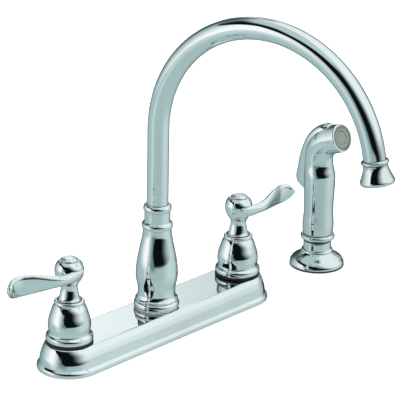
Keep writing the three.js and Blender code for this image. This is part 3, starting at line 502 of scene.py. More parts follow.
def dress(piece, body, slot, nodes=(), material=None):
    piece.data.materials.clear()
    piece.data.materials.append(materials[material or slot])
    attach(piece, body)
    if nodes:
        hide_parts(*nodes)
    return piece


def startTree(name, sizes, counts=(), takesMesh=False):
    tree = bpy.data.node_groups.new(name, "GeometryNodeTree")
    face = tree.interface
    if takesMesh:
        face.new_socket("Geometry", in_out="INPUT", socket_type="NodeSocketGeometry")
    face.new_socket("Geometry", in_out="OUTPUT", socket_type="NodeSocketGeometry")
    kinds = [(n, "Int") for n in counts] + [(n, "Float") for n in sizes] + [("Material", "Material")]
    sockets = {n: face.new_socket(n, in_out="INPUT", socket_type="NodeSocket" + kind).identifier
               for n, kind in kinds}
    return tree, sockets, addNode(tree, "NodeGroupInput").outputs


def endTree(tree, shape, material):
    real = addNode(tree, "GeometryNodeRealizeInstances", {"Geometry": shape})
    painted = addNode(tree, "GeometryNodeSetMaterial", {"Geometry": real, "Material": material})
    addNode(tree, "NodeGroupOutput", {0: painted})


def grow(piece, tree, sockets, values):
    change = piece.modifiers.new(tree.name, "NODES")
    change.node_group = tree
    for key, value in values.items():
        change[sockets[key]] = value


def grownPiece(name, tree, sockets, values, sharp=30):
    piece = bpy.data.objects.new(name, bpy.data.meshes.new(name))
    scene.collection.objects.link(piece)
    grow(piece, tree, sockets, values)
    return asPlainMesh(piece, sharp)


def threadTree():  # a ridge wound round a core, which is also a spring
    tree, sockets, given = startTree("thread", ("Core Radius", "Ridge", "Pitch", "Foot", "Height", "Across"))
    spiral = addNode(tree, "GeometryNodeCurveSpiral", {
        "Resolution": 48, "Rotations": mathNode(tree, "DIVIDE", given["Height"], given["Pitch"]),
        "Start Radius": given["Core Radius"], "End Radius": given["Core Radius"], "Height": given["Height"]})
    upright = addNode(tree, "GeometryNodeSetCurveNormal", {"Curve": spiral}, mode="Z_UP")
    ridge = addNode(tree, "GeometryNodeCurvePrimitiveCircle", {"Resolution": 4, "Radius": given["Ridge"]})
    wound = addNode(tree, "GeometryNodeCurveToMesh", {
        "Curve": upright, "Profile Curve": ridge, "Fill Caps": True})
    place = addNode(tree, "ShaderNodeCombineXYZ", {0: given["Across"], 1: 0.0, 2: given["Foot"]})
    moved = addNode(tree, "GeometryNodeTransform", {"Geometry": wound, "Translation": place})
    endTree(tree, moved, given["Material"])
    return tree, sockets


def holesTree():  # holes bored in a ring
    names = ("Ring Radius", "Hole Radius", "Middle", "Depth")
    tree, sockets, given = startTree("ringOfHoles", names, ("Count",), True)
    calc = partial(mathNode, tree)
    spots = addNode(tree, "GeometryNodeMeshLine", {"Count": given["Count"]}, mode="OFFSET")
    share = calc("DIVIDE", addNode(tree, "GeometryNodeInputIndex"), given["Count"])
    angle = calc("MULTIPLY", share, 2 * math.pi)
    place = addNode(tree, "ShaderNodeCombineXYZ", {
        0: calc("MULTIPLY", calc("COSINE", angle), given["Ring Radius"]),
        1: calc("MULTIPLY", calc("SINE", angle), given["Ring Radius"]),
        2: given["Middle"]})
    moved = addNode(tree, "GeometryNodeSetPosition", {"Geometry": spots, "Position": place})
    drill = addNode(tree, "GeometryNodeMeshCylinder", {
        "Vertices": 14, "Radius": given["Hole Radius"], "Depth": given["Depth"]})
    drills = addNode(tree, "GeometryNodeInstanceOnPoints", {"Points": moved, "Instance": drill})
    real = addNode(tree, "GeometryNodeRealizeInstances", {"Geometry": drills})
    cut = addNode(tree, "GeometryNodeMeshBoolean", {"Mesh 1": given["Geometry"], "Mesh 2": real},
                  operation="DIFFERENCE", solver="EXACT")
    endTree(tree, cut, given["Material"])
    return tree, sockets


threads, holes = threadTree(), holesTree()


def makeThread(name, core, ridge, pitch, foot, height, x, slot):
    dress(grownPiece(name, *threads, {
        "Core Radius": core * mm, "Ridge": ridge * mm, "Pitch": pitch * mm, "Foot": foot * mm,
        "Height": height * mm, "Across": x * mm, "Material": materials[slot]}, 20), "base", slot)


def drillRings(piece, rings, radius, middle, depth, material):
    for count, distance in rings:
        grow(piece, *holes, {
            "Count": count, "Ring Radius": distance * mm, "Hole Radius": radius * mm, "Middle": middle * mm,
            "Depth": depth * mm, "Material": materials[material]})
    return asPlainMesh(piece)


plate = {
    "footHalfWidth": 26.4,
    "topHalfWidth": 19.2,
    "wall": 2.2,
    "holeRadius": 14.35,
    "arcSteps": 40,
}


def stadiumRing(halfWidth, z):
    centre, steps = faucet["handleSpacing"] / 2, plate["arcSteps"]
    ring = []
    for side, start in ((1, -math.pi / 2), (-1, math.pi / 2)):
        ring += [(side * centre + halfWidth * math.cos(start + math.pi * k / steps),
                  halfWidth * math.sin(start + math.pi * k / steps), z) for k in range(steps + 1)]
    return ring


def makePlate():
    foot, top, hole = plate["footHalfWidth"], plate["topHalfWidth"], plate["holeRadius"]
    high = faucet["plateHeight"]
    outer = softLine([
        [foot - 0.9, gap], [foot - 0.4, gap + 0.1], [foot - 0.05, 1.2], [foot, 2.2], [foot - 0.35, 3.9],
        [foot - 1.35, 5.1], [foot - 2, 5.8, 1], [foot - 2.3, 8.4], [foot - 2.9, 12], [top + 3.1, 15.8],
        [top + 2.1, 18.6], [top + 1.1, 20.6], [top + 0.4, 21.6], [top - 0.6, high], [top - 1.1, high, 1]], 3)
    inner = [[foot - 3, -1], [foot - 3, 3.7], [foot - 4.6, 8], [top - 1.2, high - plate["wall"]]]
    body, inside = (loftMesh(name, [stadiumRing(w, z) for w, z in line])
                    for name, line in (("base_plate_chrome", outer), ("inside", inner)))
    tools = [inside] + [turnedMesh("hole", [[0, 10], [hole, 10], [hole, 30], [0, 30]], x, 72)
                        for x in (hotX, 0, coldX)]
    cutOrJoin(body, tools, "DIFFERENCE", 25)
    dress(body, "base", "chrome", ["base_plate"])


makePlate()
print("base plate made")


bell = {"foot": 19.2, "belly": 17.4, "rim": 12.0, "wall": 1.8, "hole": 10.2}
sealRing = {"bore": 14.75, "thickness": 1.6}  # the black ring under a bell
handle = {
    "neckFoot": 9.5,
    "neck": 6.7,
    "ball": 11.8,
    "turn": math.radians(-5),  # of both levers from straight outwards
}
lever = {
    "length": 64.2,
    "halfHeight": 9.6,
    "halfThickness": 3.8,
    "sweep": 10.4,
    "lean": math.radians(10),
    "around": 44,
    "stations": [  # shares: along, forward, middle, height, thickness
        [-0.12, 0.83, 0.06, 0.08, 0.24], [-0.08, 0.9, 0.02, 0.23, 0.5], [-0.015, 0.92, -0.17, 0.45, 0.71],
        [0.06, 0.94, -0.26, 0.52, 0.87], [0.2, 1, -0.2, 0.45, 1], [0.3, 0.94, -0.17, 0.52, 1],
        [0.4, 0.75, -0.15, 0.62, 0.97], [0.5, 0.5, -0.135, 0.76, 0.92], [0.6, 0.23, -0.135, 0.9, 0.89],
        [0.7, -0.04, -0.17, 0.97, 0.87], [0.8, -0.22, -0.21, 1, 0.84], [0.88, -0.14, -0.18, 0.9, 0.82],
        [0.94, 0.06, -0.125, 0.65, 0.76], [0.975, 0.18, -0.08, 0.37, 0.63], [0.993, 0.25, -0.06, 0.16, 0.4],
        [1, 0.27, -0.055, 0, 0],
    ],
}
cap = {"radius": 7.0, "thickness": 2.2, "gap": 0.1}
mark = {"radius": 1.9, "ring": 0.42, "above": 5.0, "sunk": 0.35}  # a white button with a coloured ring


def makeBell(prefix, x):
    foot, belly, rim, wall = bell["foot"], bell["belly"], bell["rim"], bell["wall"]

    def z(share):
        return faucet["bellFoot"] + share * faucet["bellHeight"]

    outer = softLine([
        [foot - 0.9, z(0)], [foot - 0.3, z(0.012)], [foot, z(0.045)], [foot - 0.05, z(0.09)],
        [foot - 0.5, z(0.135)], [belly - 0.3, z(0.17)], [belly - 0.75, z(0.2), 1], [belly - 0.5, z(0.26)],
        [belly, z(0.38)], [belly - 0.7, z(0.54)], [belly - 2.3, z(0.7)], [rim + 1.75, z(0.82)],
        [rim + 0.3, z(0.895)], [rim - 0.25, z(0.915), 1], [rim + 0.25, z(0.935)], [rim + 0.3, z(0.96)],
        [rim - 0.1, z(0.99)], [rim - 0.7, z(1)], [bell["hole"], z(1), 1]])
    inner = [[bell["hole"], z(0.93)], [rim + 1.6 - wall, z(0.8)], [belly - wall - 0.4, z(0.48)],
             [belly - wall - 0.4, z(0)]]
    dress(turnedMesh(prefix + "_bell_chrome", outer + inner, x), "base", "chrome", [prefix + "_bell"])
    bore, low, high = sealRing["bore"], faucet["plateHeight"] + gap, sealRing["thickness"]
    ring = softLine([[bore, low], [foot - 0.5, low, 1], [foot - 0.1, low + 0.3], [foot, low + 0.8],
                     [foot - 0.1, low + 1.3], [foot - 0.5, low + high, 1], [bore, low + high, 1]])
    dress(turnedMesh(prefix + "_seal_ring_rubber", ring, x), "base", "rubber", [prefix + "_seal_ring"])


def turnedPoint(p, x):  # from the handle's own axis to its place, at its rest angle
    c, s = math.cos(handle["turn"]), math.sin(handle["turn"])
    return (x + p[0] * c - p[1] * s, p[0] * s + p[1] * c, p[2])


def leverRings(side, x):
    scale, count = 60, lever["around"]  # the shares are enlarged while they are smoothed
    tables = [softLine([[s[0] * scale, s[k] * scale] for s in lever["stations"]], 5) for k in (1, 2, 3, 4)]
    c, s = math.cos(lever["lean"]), math.sin(lever["lean"])
    rings = []
    for forward, middle, tall, thick in zip(*tables):
        along = forward[0] / scale * lever["length"]
        ring = []
        for k in range(count if tall[1] > 1e-6 else 1):
            a = 2 * math.pi * (k + 0.5) / count
            up = lever["halfHeight"] * tall[1] / scale * math.cos(a)
            out = lever["halfThickness"] * thick[1] / scale * math.sin(a)
            ring.append(turnedPoint((
                side * along, -lever["sweep"] * forward[1] / scale - up * s - out * c,
                ballZ + lever["halfHeight"] * middle[1] / scale + up * c - out * s), x))
        rings.append(ring)
    return rings


def makeHandle(prefix, side, x):
    ball, neck, foot = handle["ball"], handle["neck"], handle["neckFoot"]
    low = bellTop - 0.8
    line = softLine([
        [0, low], [foot, low, 1], [foot, bellTop + 0.4], [foot - 0.25, bellTop + 0.95],
        [foot - 0.8, bellTop + 1.35, 1], [foot - 1.3, bellTop + 2.6], [neck + 0.75, bellTop + 6.2],
        [neck, bellTop + 11], [neck + 0.35, bellTop + 13.2], [ball * 0.74, ballZ - 9.1],
        [ball * 0.92, ballZ - 5.3], [ball, ballZ - 0.6], [ball * 0.975, ballZ + 3], [ball * 0.87, ballZ + 6],
        [ball * 0.74, ballZ + 7.6], [ball * 0.66, crownZ], [0, crownZ, 1]])
    body = turnedMesh(prefix + "_handle_chrome", line, x)
    cutOrJoin(body, [loftMesh("lever", leverRings(side, x), 40)], "UNION", 38)
    dress(body, prefix + "_lever", "chrome", [prefix + "_handle"])


def makeCap(prefix, x):
    r, seat = cap["radius"], crownZ + cap["gap"]
    high = seat + cap["thickness"]
    line = softLine([
        [0, seat], [r - 0.3, seat, 1], [r, seat + 0.3], [r, seat + 0.9], [r - 0.35, seat + 1.3],
        [r - 0.9, seat + 1.5, 1], [r - 1.1, seat + 1.75], [r - 1.6, high], [r - 2.1, high + 0.02],
        [r - 2.4, high - 0.28, 1], [r - 2.9, high - 0.3], [r - 3.3, high, 1], [0, high + 0.1]])
    dress(turnedMesh(prefix + "_handle_cap_chrome", line, x), prefix + "_lever", "chrome",
          [prefix + "_handle_cap"])


def makeMark(prefix, x, colour):
    r, ring = mark["radius"], mark["ring"]
    rise = math.asin(mark["above"] / handle["ball"])
    outward = Vector((0, -math.cos(rise), math.sin(rise)))
    spot = Vector(turnedPoint(outward * (handle["ball"] - mark["sunk"]), x)) + Vector((0, 0, ballZ))
    button = [[0, -0.6], [r - ring, -0.6, 1], [r - ring, 0.15, 1], [r - ring - 0.25, 0.33], [0, 0.45]]
    rim = [[r - ring, -0.6], [r, -0.6, 1], [r, 0.12, 1], [r - ring / 2, 0.3], [r - ring, 0.12, 1]]
    for part, line, look in (("button", button, "nylon"), ("ring", rim, colour)):
        piece = turnedMesh(prefix + "_index_" + part, softLine(line), 0, 40)
        placed(piece, spot, Vector(turnedPoint(outward, 0)))
        dress(piece, prefix + "_lever", "nylon", (), look)


for prefix, side, x, colour in (("hot", -1, hotX, "red_mark"), ("cold", 1, coldX, "blue_mark")):
    makeBell(prefix, x)
    makeHandle(prefix, side, x)
    makeCap(prefix, x)
    makeMark(prefix, x, colour)
print("bells and handles made")


spoutBody = {"foot": 18.9, "belly": 17.5, "neck": 11.8, "bore": 8.4}
hub = {  # the brass post that the spout turns on
    "radius": 10.0,
    "foot": 13.6,
    "height": 86.0,
    "screw": 4.2,  # height of the set screw's groove over the spout's foot
    "rings": (66, 80),  # heights of the grooves of the two rings
}
gooseneck = {
    "insert": 21.0,
    "legTop": 176.5,
    "bendRadius": 100.0,
    "bendAngle": math.radians(169.1),
    "tail": 8.6,
    "steps": 220,
}
nozzle = {"grip": 4.2, "neck": 9.8, "lip": 13.6, "length": 19.3}
aerator = {
    "length": 8.0,
    "rings": ((1, 0), (6, 2.4), (12, 4.4), (16, 6.2)),  # holes, and how far they are from the middle
    "hole": 0.62,
    "depth": 4.5,
}
tubeFoot = spoutTop - gooseneck["insert"]


def makeSpoutBody():
    foot, belly, neck, tube = spoutBody["foot"], spoutBody["belly"], spoutBody["neck"], tubeRadius

    def z(height):  # the heights are read on a body 88 high
        return faucet["spoutFoot"] + height * faucet["spoutHeight"] / 88

    outer = softLine([
        [foot - 0.9, z(0)], [foot - 0.2, z(0.5)], [foot, z(1.8)], [foot - 0.15, z(3.3)], [foot - 0.8, z(4.6)],
        [foot - 1.5, z(5.2), 1], [foot - 1.15, z(6)], [foot - 1.2, z(6.9)], [belly - 0.8, z(7.9)],
        [belly - 1.6, z(9.6)], [belly - 2, z(12)], [belly - 1.7, z(17)], [belly - 0.4, z(23.5)],
        [belly, z(29)], [belly - 0.5, z(36)], [belly - 1.9, z(45)], [belly - 4, z(55)], [neck + 0.4, z(62)],
        [neck - 0.1, z(67.4), 1], [neck + 0.6, z(67.8)], [neck + 1.05, z(69)], [neck + 1.1, z(70.4)],
        [neck + 0.6, z(71.8)], [neck - 0.4, z(72.5)], [neck - 1.1, z(73.2), 1], [neck - 1.1, z(78)],
        [neck - 1.1, z(82.2), 1], [neck - 0.5, z(82.8)], [neck - 0.1, z(84)], [neck - 0.1, z(85.3)],
        [neck - 0.5, z(86.6)], [neck - 1.3, z(87.6)], [tube + 0.9, z(88)], [tube + gap, z(88), 1]])
    bore, wide, narrow, high = hub["radius"] + gap, hub["foot"] + gap, spoutBody["bore"], hub["height"] + 1
    inner = [[tube + gap, tubeFoot - gap], [narrow, tubeFoot - gap], [narrow, high], [bore, high], [bore, 60],
             [wide, 54], [wide, z(0)]]
    dress(turnedMesh("spout_body_chrome", outer + inner), "spout", "chrome", ["spout_body"])


def neckLine(distance):
    radius, angle, leg = gooseneck["bendRadius"], gooseneck["bendAngle"], gooseneck["legTop"] - tubeFoot
    turned = min(max((distance - leg) / radius, 0), angle)
    tail = max(0, distance - leg - radius * angle)
    out = radius * (1 - math.cos(turned)) + tail * math.sin(turned)
    up = tubeFoot + min(distance, leg) + radius * math.sin(turned) + tail * math.cos(turned)
    return Vector((out * math.cos(faucet["spoutAngle"]), out * math.sin(faucet["spoutAngle"]), up))


def gooseneckTree():  # a tube along a straight leg, a bend and a straight tail
    names = ("Foot", "Leg Length", "Bend Radius", "Bend Angle", "Tail", "Tube Radius", "Heading")
    tree, sockets, given = startTree("gooseneck", names)
    radius, angle, leg = given["Bend Radius"], given["Bend Angle"], given["Leg Length"]
    calc = partial(mathNode, tree)
    total = calc("ADD", calc("MULTIPLY_ADD", radius, angle, leg), given["Tail"])
    line = addNode(tree, "GeometryNodeMeshLine", {"Count": gooseneck["steps"]}, mode="OFFSET")
    share = calc("DIVIDE", addNode(tree, "GeometryNodeInputIndex"), gooseneck["steps"] - 1.0)
    distance = calc("MULTIPLY", share, total)
    past = calc("SUBTRACT", distance, leg)
    turned = calc("MINIMUM", calc("MAXIMUM", calc("DIVIDE", past, radius), 0.0), angle)
    tail = calc("MAXIMUM", calc("SUBTRACT", past, calc("MULTIPLY", radius, angle)), 0.0)
    cosine, sine = calc("COSINE", turned), calc("SINE", turned)
    out = calc("MULTIPLY_ADD", radius, calc("SUBTRACT", 1.0, cosine), calc("MULTIPLY", tail, sine))
    rise = calc("ADD", given["Foot"], calc("MINIMUM", distance, leg))
    up = calc("ADD", calc("MULTIPLY_ADD", radius, sine, rise), calc("MULTIPLY", tail, cosine))
    spot = addNode(tree, "ShaderNodeCombineXYZ", {
        0: calc("MULTIPLY", out, calc("COSINE", given["Heading"])),
        1: calc("MULTIPLY", out, calc("SINE", given["Heading"])),
        2: up})
    moved = addNode(tree, "GeometryNodeSetPosition", {"Geometry": line, "Position": spot})
    curve = addNode(tree, "GeometryNodeMeshToCurve", {"Mesh": moved})
    profile = addNode(tree, "GeometryNodeCurvePrimitiveCircle", {
        "Resolution": 64, "Radius": given["Tube Radius"]})
    tube = addNode(tree, "GeometryNodeCurveToMesh", {
        "Curve": curve, "Profile Curve": profile, "Fill Caps": True})
    endTree(tree, tube, given["Material"])
    return tree, sockets


def makeTube():
    values = {
        "Foot": tubeFoot * mm, "Leg Length": (gooseneck["legTop"] - tubeFoot) * mm,
        "Bend Radius": gooseneck["bendRadius"] * mm, "Bend Angle": gooseneck["bendAngle"],
        "Tail": gooseneck["tail"] * mm, "Tube Radius": tubeRadius * mm,
        "Heading": faucet["spoutAngle"], "Material": materials["chrome"],
    }
    dress(grownPiece("spout_tube_chrome", *gooseneckTree(), values), "spout", "chrome", ["spout_tube"])


def atNozzle(piece):  # from the origin, mouth down, to the end of the gooseneck
    bend = gooseneck["bendRadius"] * gooseneck["bendAngle"]
    length = gooseneck["legTop"] - tubeFoot + bend + gooseneck["tail"]
    end = neckLine(length)
    ahead = (end - neckLine(length - 1)).normalized()
    turn = Vector((0, 0, -1)).rotation_difference(ahead).to_matrix().to_4x4()
    piece.data.transform(Matrix.Translation((end - ahead * nozzle["grip"]) * mm) @ turn)
    return piece


def makeNozzle():
    neck, lip, bore, held = nozzle["neck"], nozzle["lip"], tubeRadius, nozzle["grip"]

    def z(depth):  # the depths are read on a nozzle 20.5 long
        return -depth * nozzle["length"] / 20.5

    outer = softLine([
        [bore + gap, z(0)], [neck - 0.1, z(0), 1], [neck + 0.5, z(0.3)], [neck + 1.1, z(1.2)],
        [neck + 1.1, z(2.2)], [neck + 0.5, z(3.2)], [neck - 0.1, z(3.9), 1], [neck, z(6.2)],
        [neck + 0.9, z(9.8)], [neck + 2.2, z(13.2)], [lip - 0.6, z(15.6)], [lip, z(17.2)], [lip, z(18.4)],
        [lip - 0.6, z(19.6)], [lip - 1.6, z(20.4)], [lip - 2.4, z(20.5)], [bore + 0.2, z(20.2), 1]])
    seat = z(20.5) + aerator["length"] + 1.2
    inner = [[bore + 0.2, seat], [bore - 1.5, seat], [bore - 1.5, -held - gap], [bore + gap, -held - gap]]
    dress(atNozzle(turnedMesh("spout_nozzle_chrome", outer + inner)), "spout", "chrome", ["spout_nozzle"])


def makeAerator():
    low, r = -nozzle["length"] + 1, tubeRadius - 0.1
    high = low + aerator["length"]
    line = softLine([[0, low], [r - 1.5, low, 1], [r - 1.4, low - 0.5, 1], [r - 0.3, low - 0.5, 1],
                     [r, low - 0.2, 1], [r, high - 0.3, 1], [r - 0.3, high, 1], [0, high, 1]], 2)
    piece = turnedMesh("aerator_screen", line)
    drillRings(piece, aerator["rings"], aerator["hole"], low, aerator["depth"], "grey_plastic")
    dress(atNozzle(piece), "spout", "grey_plastic", ["aerator"])


makeSpoutBody()
makeTube()
makeNozzle()
print("spout made")


guide = {
    "flange": 24.2,
    "neck": 12.4,
    "height": 24.6,
    "shank": 11.6,
    "shankLength": 38.0,
    "bore": 10.6,
    "hoseBore": 8.6,
    "shoulder": 17.7,  # from the top down to where the coupling stands
    "pad": 1.1,  # thickness of the black rubber between the flange and the deck, a real pad that also serves as painted contact shade at the flange's foot
    "lip": 1.8,  # height of the black lining that shows on top of the neck, a real liner that also serves as painted shade in the gap under the collar
}
collar = {"radius": 15.2, "height": 4.8}
grip = {
    "radius": 13.4,
    "length": 71.5,
    "bend": 20.0,
    "tilt": math.radians(20),
    "reach": 23.5,
    "recess": 9.7,  # flat back under the trigger, from the axis
    "recessFrom": 0.52,  # share of the length where it starts
    "around": 72,
    "socket": 13.0,
    "bore": 3.4,
}
sprayFace = {"radius": 10.9, "thickness": 5.0, "jets": 24, "jetRing": 9.2, "jet": 0.72, "jetDepth": 4.4}
pin = {"radius": 1.5, "angle": math.radians(50), "out": 7, "lug": 8.0}
trigger = {
    "standOff": 9.0,
    "thickness": 2.2,
    "halfWidth": 9.0,
    "depth": 0.8,
    "around": 16,  # steps from its crest to either side
    "roundness": 0.8,  # of the hood: 1 is an ellipse, less is squarer
    "tip": 0.31,  # share of the grip's length that it reaches down from the bend
    "end": 72.0,
    "lower": [(-7.8, -8, 0.97), (-3.2, -6.4, 0.98), (0.6, -3.9, 1), (1.9, 0.3, 1), (0.7, 7, 1),
              (-1.8, 20, 1)],
    "upper": [(4.4, 13, 1), (3.3, 32, 0.98), (2.6, 50, 0.93), (1.7, 63, 0.82), (0.6, 72, 0.6)],
    "lug": [(-2.8, -2), (-2.8, 2), (-1.5, 2.8), (3, 3.2), (6.6, 4.4), (6.6, -4.4), (3, -3.2), (-1.5, -2.8)],
}
spring = {"radius": 2.3, "wire": 0.45, "turns": 3, "stroke": 2.27}
collarFoot = guide["height"] + gap
sprayFoot = collarFoot + collar["height"] + gap
bendFoot = sprayFoot + grip["length"]
sprayTurn = math.pi / 2 - grip["tilt"]
bendArc = grip["bend"] * sprayTurn
headLength = (grip["reach"] - grip["bend"] * (1 - math.cos(sprayTurn))) / math.cos(grip["tilt"])
aim = Vector((0, -math.cos(grip["tilt"]), math.sin(grip["tilt"])))
recessFoot = sprayFoot + grip["recessFrom"] * grip["length"]
triggerTip = bendFoot - trigger["tip"] * grip["length"]
atSprayer = Vector((sprayerX, 0, 0))


def sprayLine(distance):
    turn = min(max((distance - grip["length"]) / grip["bend"], 0), sprayTurn)
    head = max(0, distance - grip["length"] - bendArc)
    up = sprayFoot + min(distance, grip["length"]) + grip["bend"] * math.sin(turn)
    spot = Vector((0, -grip["bend"] * (1 - math.cos(turn)), up)) + aim * head
    return spot + atSprayer, Vector((0, -math.sin(turn), math.cos(turn)))


def overBend(distance, angle):
    a = math.radians(angle)
    return Vector((0, -grip["bend"] + distance * math.cos(a), bendFoot + distance * math.sin(a)))


faceCentre = sprayLine(grip["length"] + bendArc + headLength)[0]
pivot = overBend(grip["bend"] + pin["out"], math.degrees(pin["angle"]))


def fromPivot(out, along):
    c, s = math.cos(pin["angle"]), math.sin(pin["angle"])
    return Vector((0, pivot.y + out * c - along * s, pivot.z + out * s + along * c))


def sideways(name, points, width, middle=0):  # a side view, extruded across the sprayer
    rings = [[(sprayerX + middle + x, p.y, p.z) for p in points] for x in (-width / 2, width / 2)]
    return loftMesh(name, rings)


def makeGuide():
    flange, neck, stem, long = guide["flange"], guide["neck"], guide["shank"], guide["shankLength"]
    top, bore, hose, pad = guide["height"], guide["bore"], guide["hoseBore"], guide["pad"]
    shoulder, lip = top - guide["shoulder"], top - guide["lip"]
    line = softLine([
        [hose, -long], [stem - 1.4, -long, 1], [stem - 0.6, -long + 0.8, 1], [stem - 0.6, -5, 1],
        [stem, -4.4, 1], [stem, pad, 1], [flange - 0.5, pad, 1], [flange - 0.05, pad + 0.5], [flange, 2.4],
        [flange - 0.5, 4.6], [flange - 2.5, 7.4], [flange - 6.4, 9.9], [neck + 2.9, 11.9],
        [neck + 1.7, 13.3, 1], [neck + 1.75, 13.9], [neck + 1.4, 14.9], [neck + 0.6, 15.5], [neck, 15.9, 1],
        [neck, 20], [neck, lip - 0.4], [neck - 0.4, lip, 1], [bore, lip, 1], [bore, shoulder + 1, 1],
        [hose, shoulder - 1, 1]])
    dress(turnedMesh("spray_guide_chrome", line, sprayerX), "base", "chrome", ["spray_guide"])
    # black rubber pad under the flange: a real gasket that also serves as painted contact shade where the
    # flange meets the deck
    line = softLine([[stem + 0.2, 0], [flange - 0.3, 0, 1], [flange + 0.05, 0.3], [flange + 0.05, pad - 0.3],
                     [flange - 0.3, pad, 1], [stem + 0.2, pad, 1]])
    dress(turnedMesh("spray_guide_pad_and_shade", line, sprayerX), "base", "rubber")
    # black lining on top of the neck: a real liner that also serves as painted shade in the gap under the
    # collar
    line = softLine([[bore, lip], [neck - 0.5, lip, 1], [neck - 0.3, lip + 0.2], [neck - 0.3, top - 0.3],
                     [neck - 0.6, top, 1], [bore, top, 1]])
    dress(turnedMesh("spray_guide_lip_and_shade", line, sprayerX), "base", "black_plastic")
    r, low, high = collar["radius"], collarFoot, collarFoot + collar["height"]
    line = softLine([
        [bore, low], [r - 1.9, low, 1], [r - 0.9, low + 0.35], [r - 0.15, low + 1.4], [r, low + 2.4],
        [r - 0.15, high - 1.4], [r - 0.9, high - 0.35], [r - 1.9, high], [bore, high, 1]])
    dress(turnedMesh("spray_collar_chrome", line, sprayerX), "hose_end", "chrome", ["spray_collar"])


def makeSprayBody():
    r, long, bend, high = grip["radius"], grip["length"], grip["bend"], trigger["end"]
    end = long + bendArc + headLength
    line = softLine([
        [0, r - 0.7], [0.5, r - 0.2], [1.4, r], [9, r + 0.5], [20, r - 0.3], [28, r - 0.3], [40, r + 0.2],
        [50, r + 0.45], [60, r + 0.3], [long, r + 0.2], [long + bendArc * 0.5, r - 0.1],
        [long + bendArc, r - 0.7], [end - 1.6, r - 0.8], [end - 0.5, r - 0.9], [end, r - 1.3]], 6)
    waist = softLine([[53.5, 0], [57.5, 0.45], [63.5, 1.85], [68, 2.3], [long + 1, 2.1],
                      [long + bendArc * 0.5, 0.7], [long + bendArc, 0]], 6)
    rings = []
    for distance, radius in line:
        spot, ahead = sprayLine(distance)
        across = ahead.cross(Vector((1, 0, 0)))
        thinner = tableValue(waist, distance)
        ring = []
        for k in range(grip["around"]):
            a = 2 * math.pi * k / grip["around"]
            r = radius - thinner * min(1, max(0, 0.6 - 0.9 * math.sin(a)))  # only the front is waisted
            ring.append(spot + Vector((r * math.cos(a), 0, 0)) + across * r * math.sin(a))
        rings.append(ring)
    body = loftMesh("spray_body_chrome", rings)

    def yz(*points):
        return [Vector((0, y, z)) for y, z in points]

    back, foot, flat = 40, recessFoot + 1.6, grip["recess"]
    seat = [overBend(bend + flat, (high + 1) * k / 20) for k in range(21)]
    recess = yz((flat, recessFoot + 3), (back, recessFoot - 6), (back, pivot.z + 40))
    recess += [overBend(60, high + 6), overBend(40, high + 6)] + seat[::-1]
    groove = yz((4, foot), (6.2, bendFoot)) + [
        overBend(bend + 7, 13), overBend(bend + 7.9, 30), overBend(bend + 8.5, 50),
        overBend(bend + 8.5, high + 1), overBend(40, high + 1)] + yz((back, pivot.z + 20), (back, foot))
    chin = yz((6, foot), (6, triggerTip - 2), (back, triggerTip - 2), (back, foot))
    slot = [fromPivot(-3.6, -3.6), fromPivot(-3.6, 3.6), fromPivot(15, 7), fromPivot(15, -7)]
    side, wide = trigger["halfWidth"] - trigger["thickness"] / 2, trigger["thickness"] + 3 * gap
    tools = [
        sideways("recess", recess, 60),
        sideways("rightGroove", groove, wide, side),
        sideways("leftGroove", groove, wide, -side),
        sideways("chin", chin, 2 * trigger["halfWidth"]),
        sideways("slot", slot, pin["lug"] + 2 * gap),
        roundBar("mouth", faceCentre - aim * (sprayFace["thickness"] + 1), faceCentre + aim * 2,
                 sprayFace["radius"] + gap, 72),
        roundBar("socket", atSprayer + Vector((0, 0, sprayFoot - 1)),
                 atSprayer + Vector((0, 0, sprayFoot + grip["socket"] + gap)), guide["bore"], 48),
        roundBar("bore", atSprayer + Vector((0, -9, bendFoot - 2)),
                 atSprayer + Vector((0, back, bendFoot - 2)), grip["bore"]),
        roundBar("pinHole", pivot + atSprayer - Vector((30, 0, 0)), pivot + atSprayer + Vector((30, 0, 0)),
                 pin["radius"] + gap / 2),
    ]
    cutOrJoin(body, tools, "DIFFERENCE", 28)
    dress(body, "sprayer", "chrome", ["spray_body"])


def makeFace():
    r, thick = sprayFace["radius"], sprayFace["thickness"]
    line = softLine([
        [0, -thick + gap], [r - 0.6, -thick + gap, 1], [r, -thick + 1, 1], [r, -0.9], [r - 0.25, -0.5],
        [r - 0.6, -0.3], [7.0, -0.3], [6.5, -0.45], [6.3, -1.0, 1], [5.9, -1.15], [5.6, -0.75], [0, -0.55]])
    piece = turnedMesh("spray_face_plastic", line)
    drillRings(piece, [(sprayFace["jets"], sprayFace["jetRing"])], sprayFace["jet"], 0.0,
               sprayFace["jetDepth"], "grey_plastic")
    dress(placed(piece, faceCentre, aim), "sprayer", "grey_plastic", ["spray_face"])
    # painted shade: a black ring under the jet holes, seen through them so that they look dark
    dark = turnedMesh("spray_jet_painted_shade", [[8.2, -3.6], [10.2, -3.6], [10.2, -1.5], [8.2, -1.5]])
    dress(placed(dark, faceCentre, aim), "sprayer", "black_plastic", (), "jet_painted_shade")


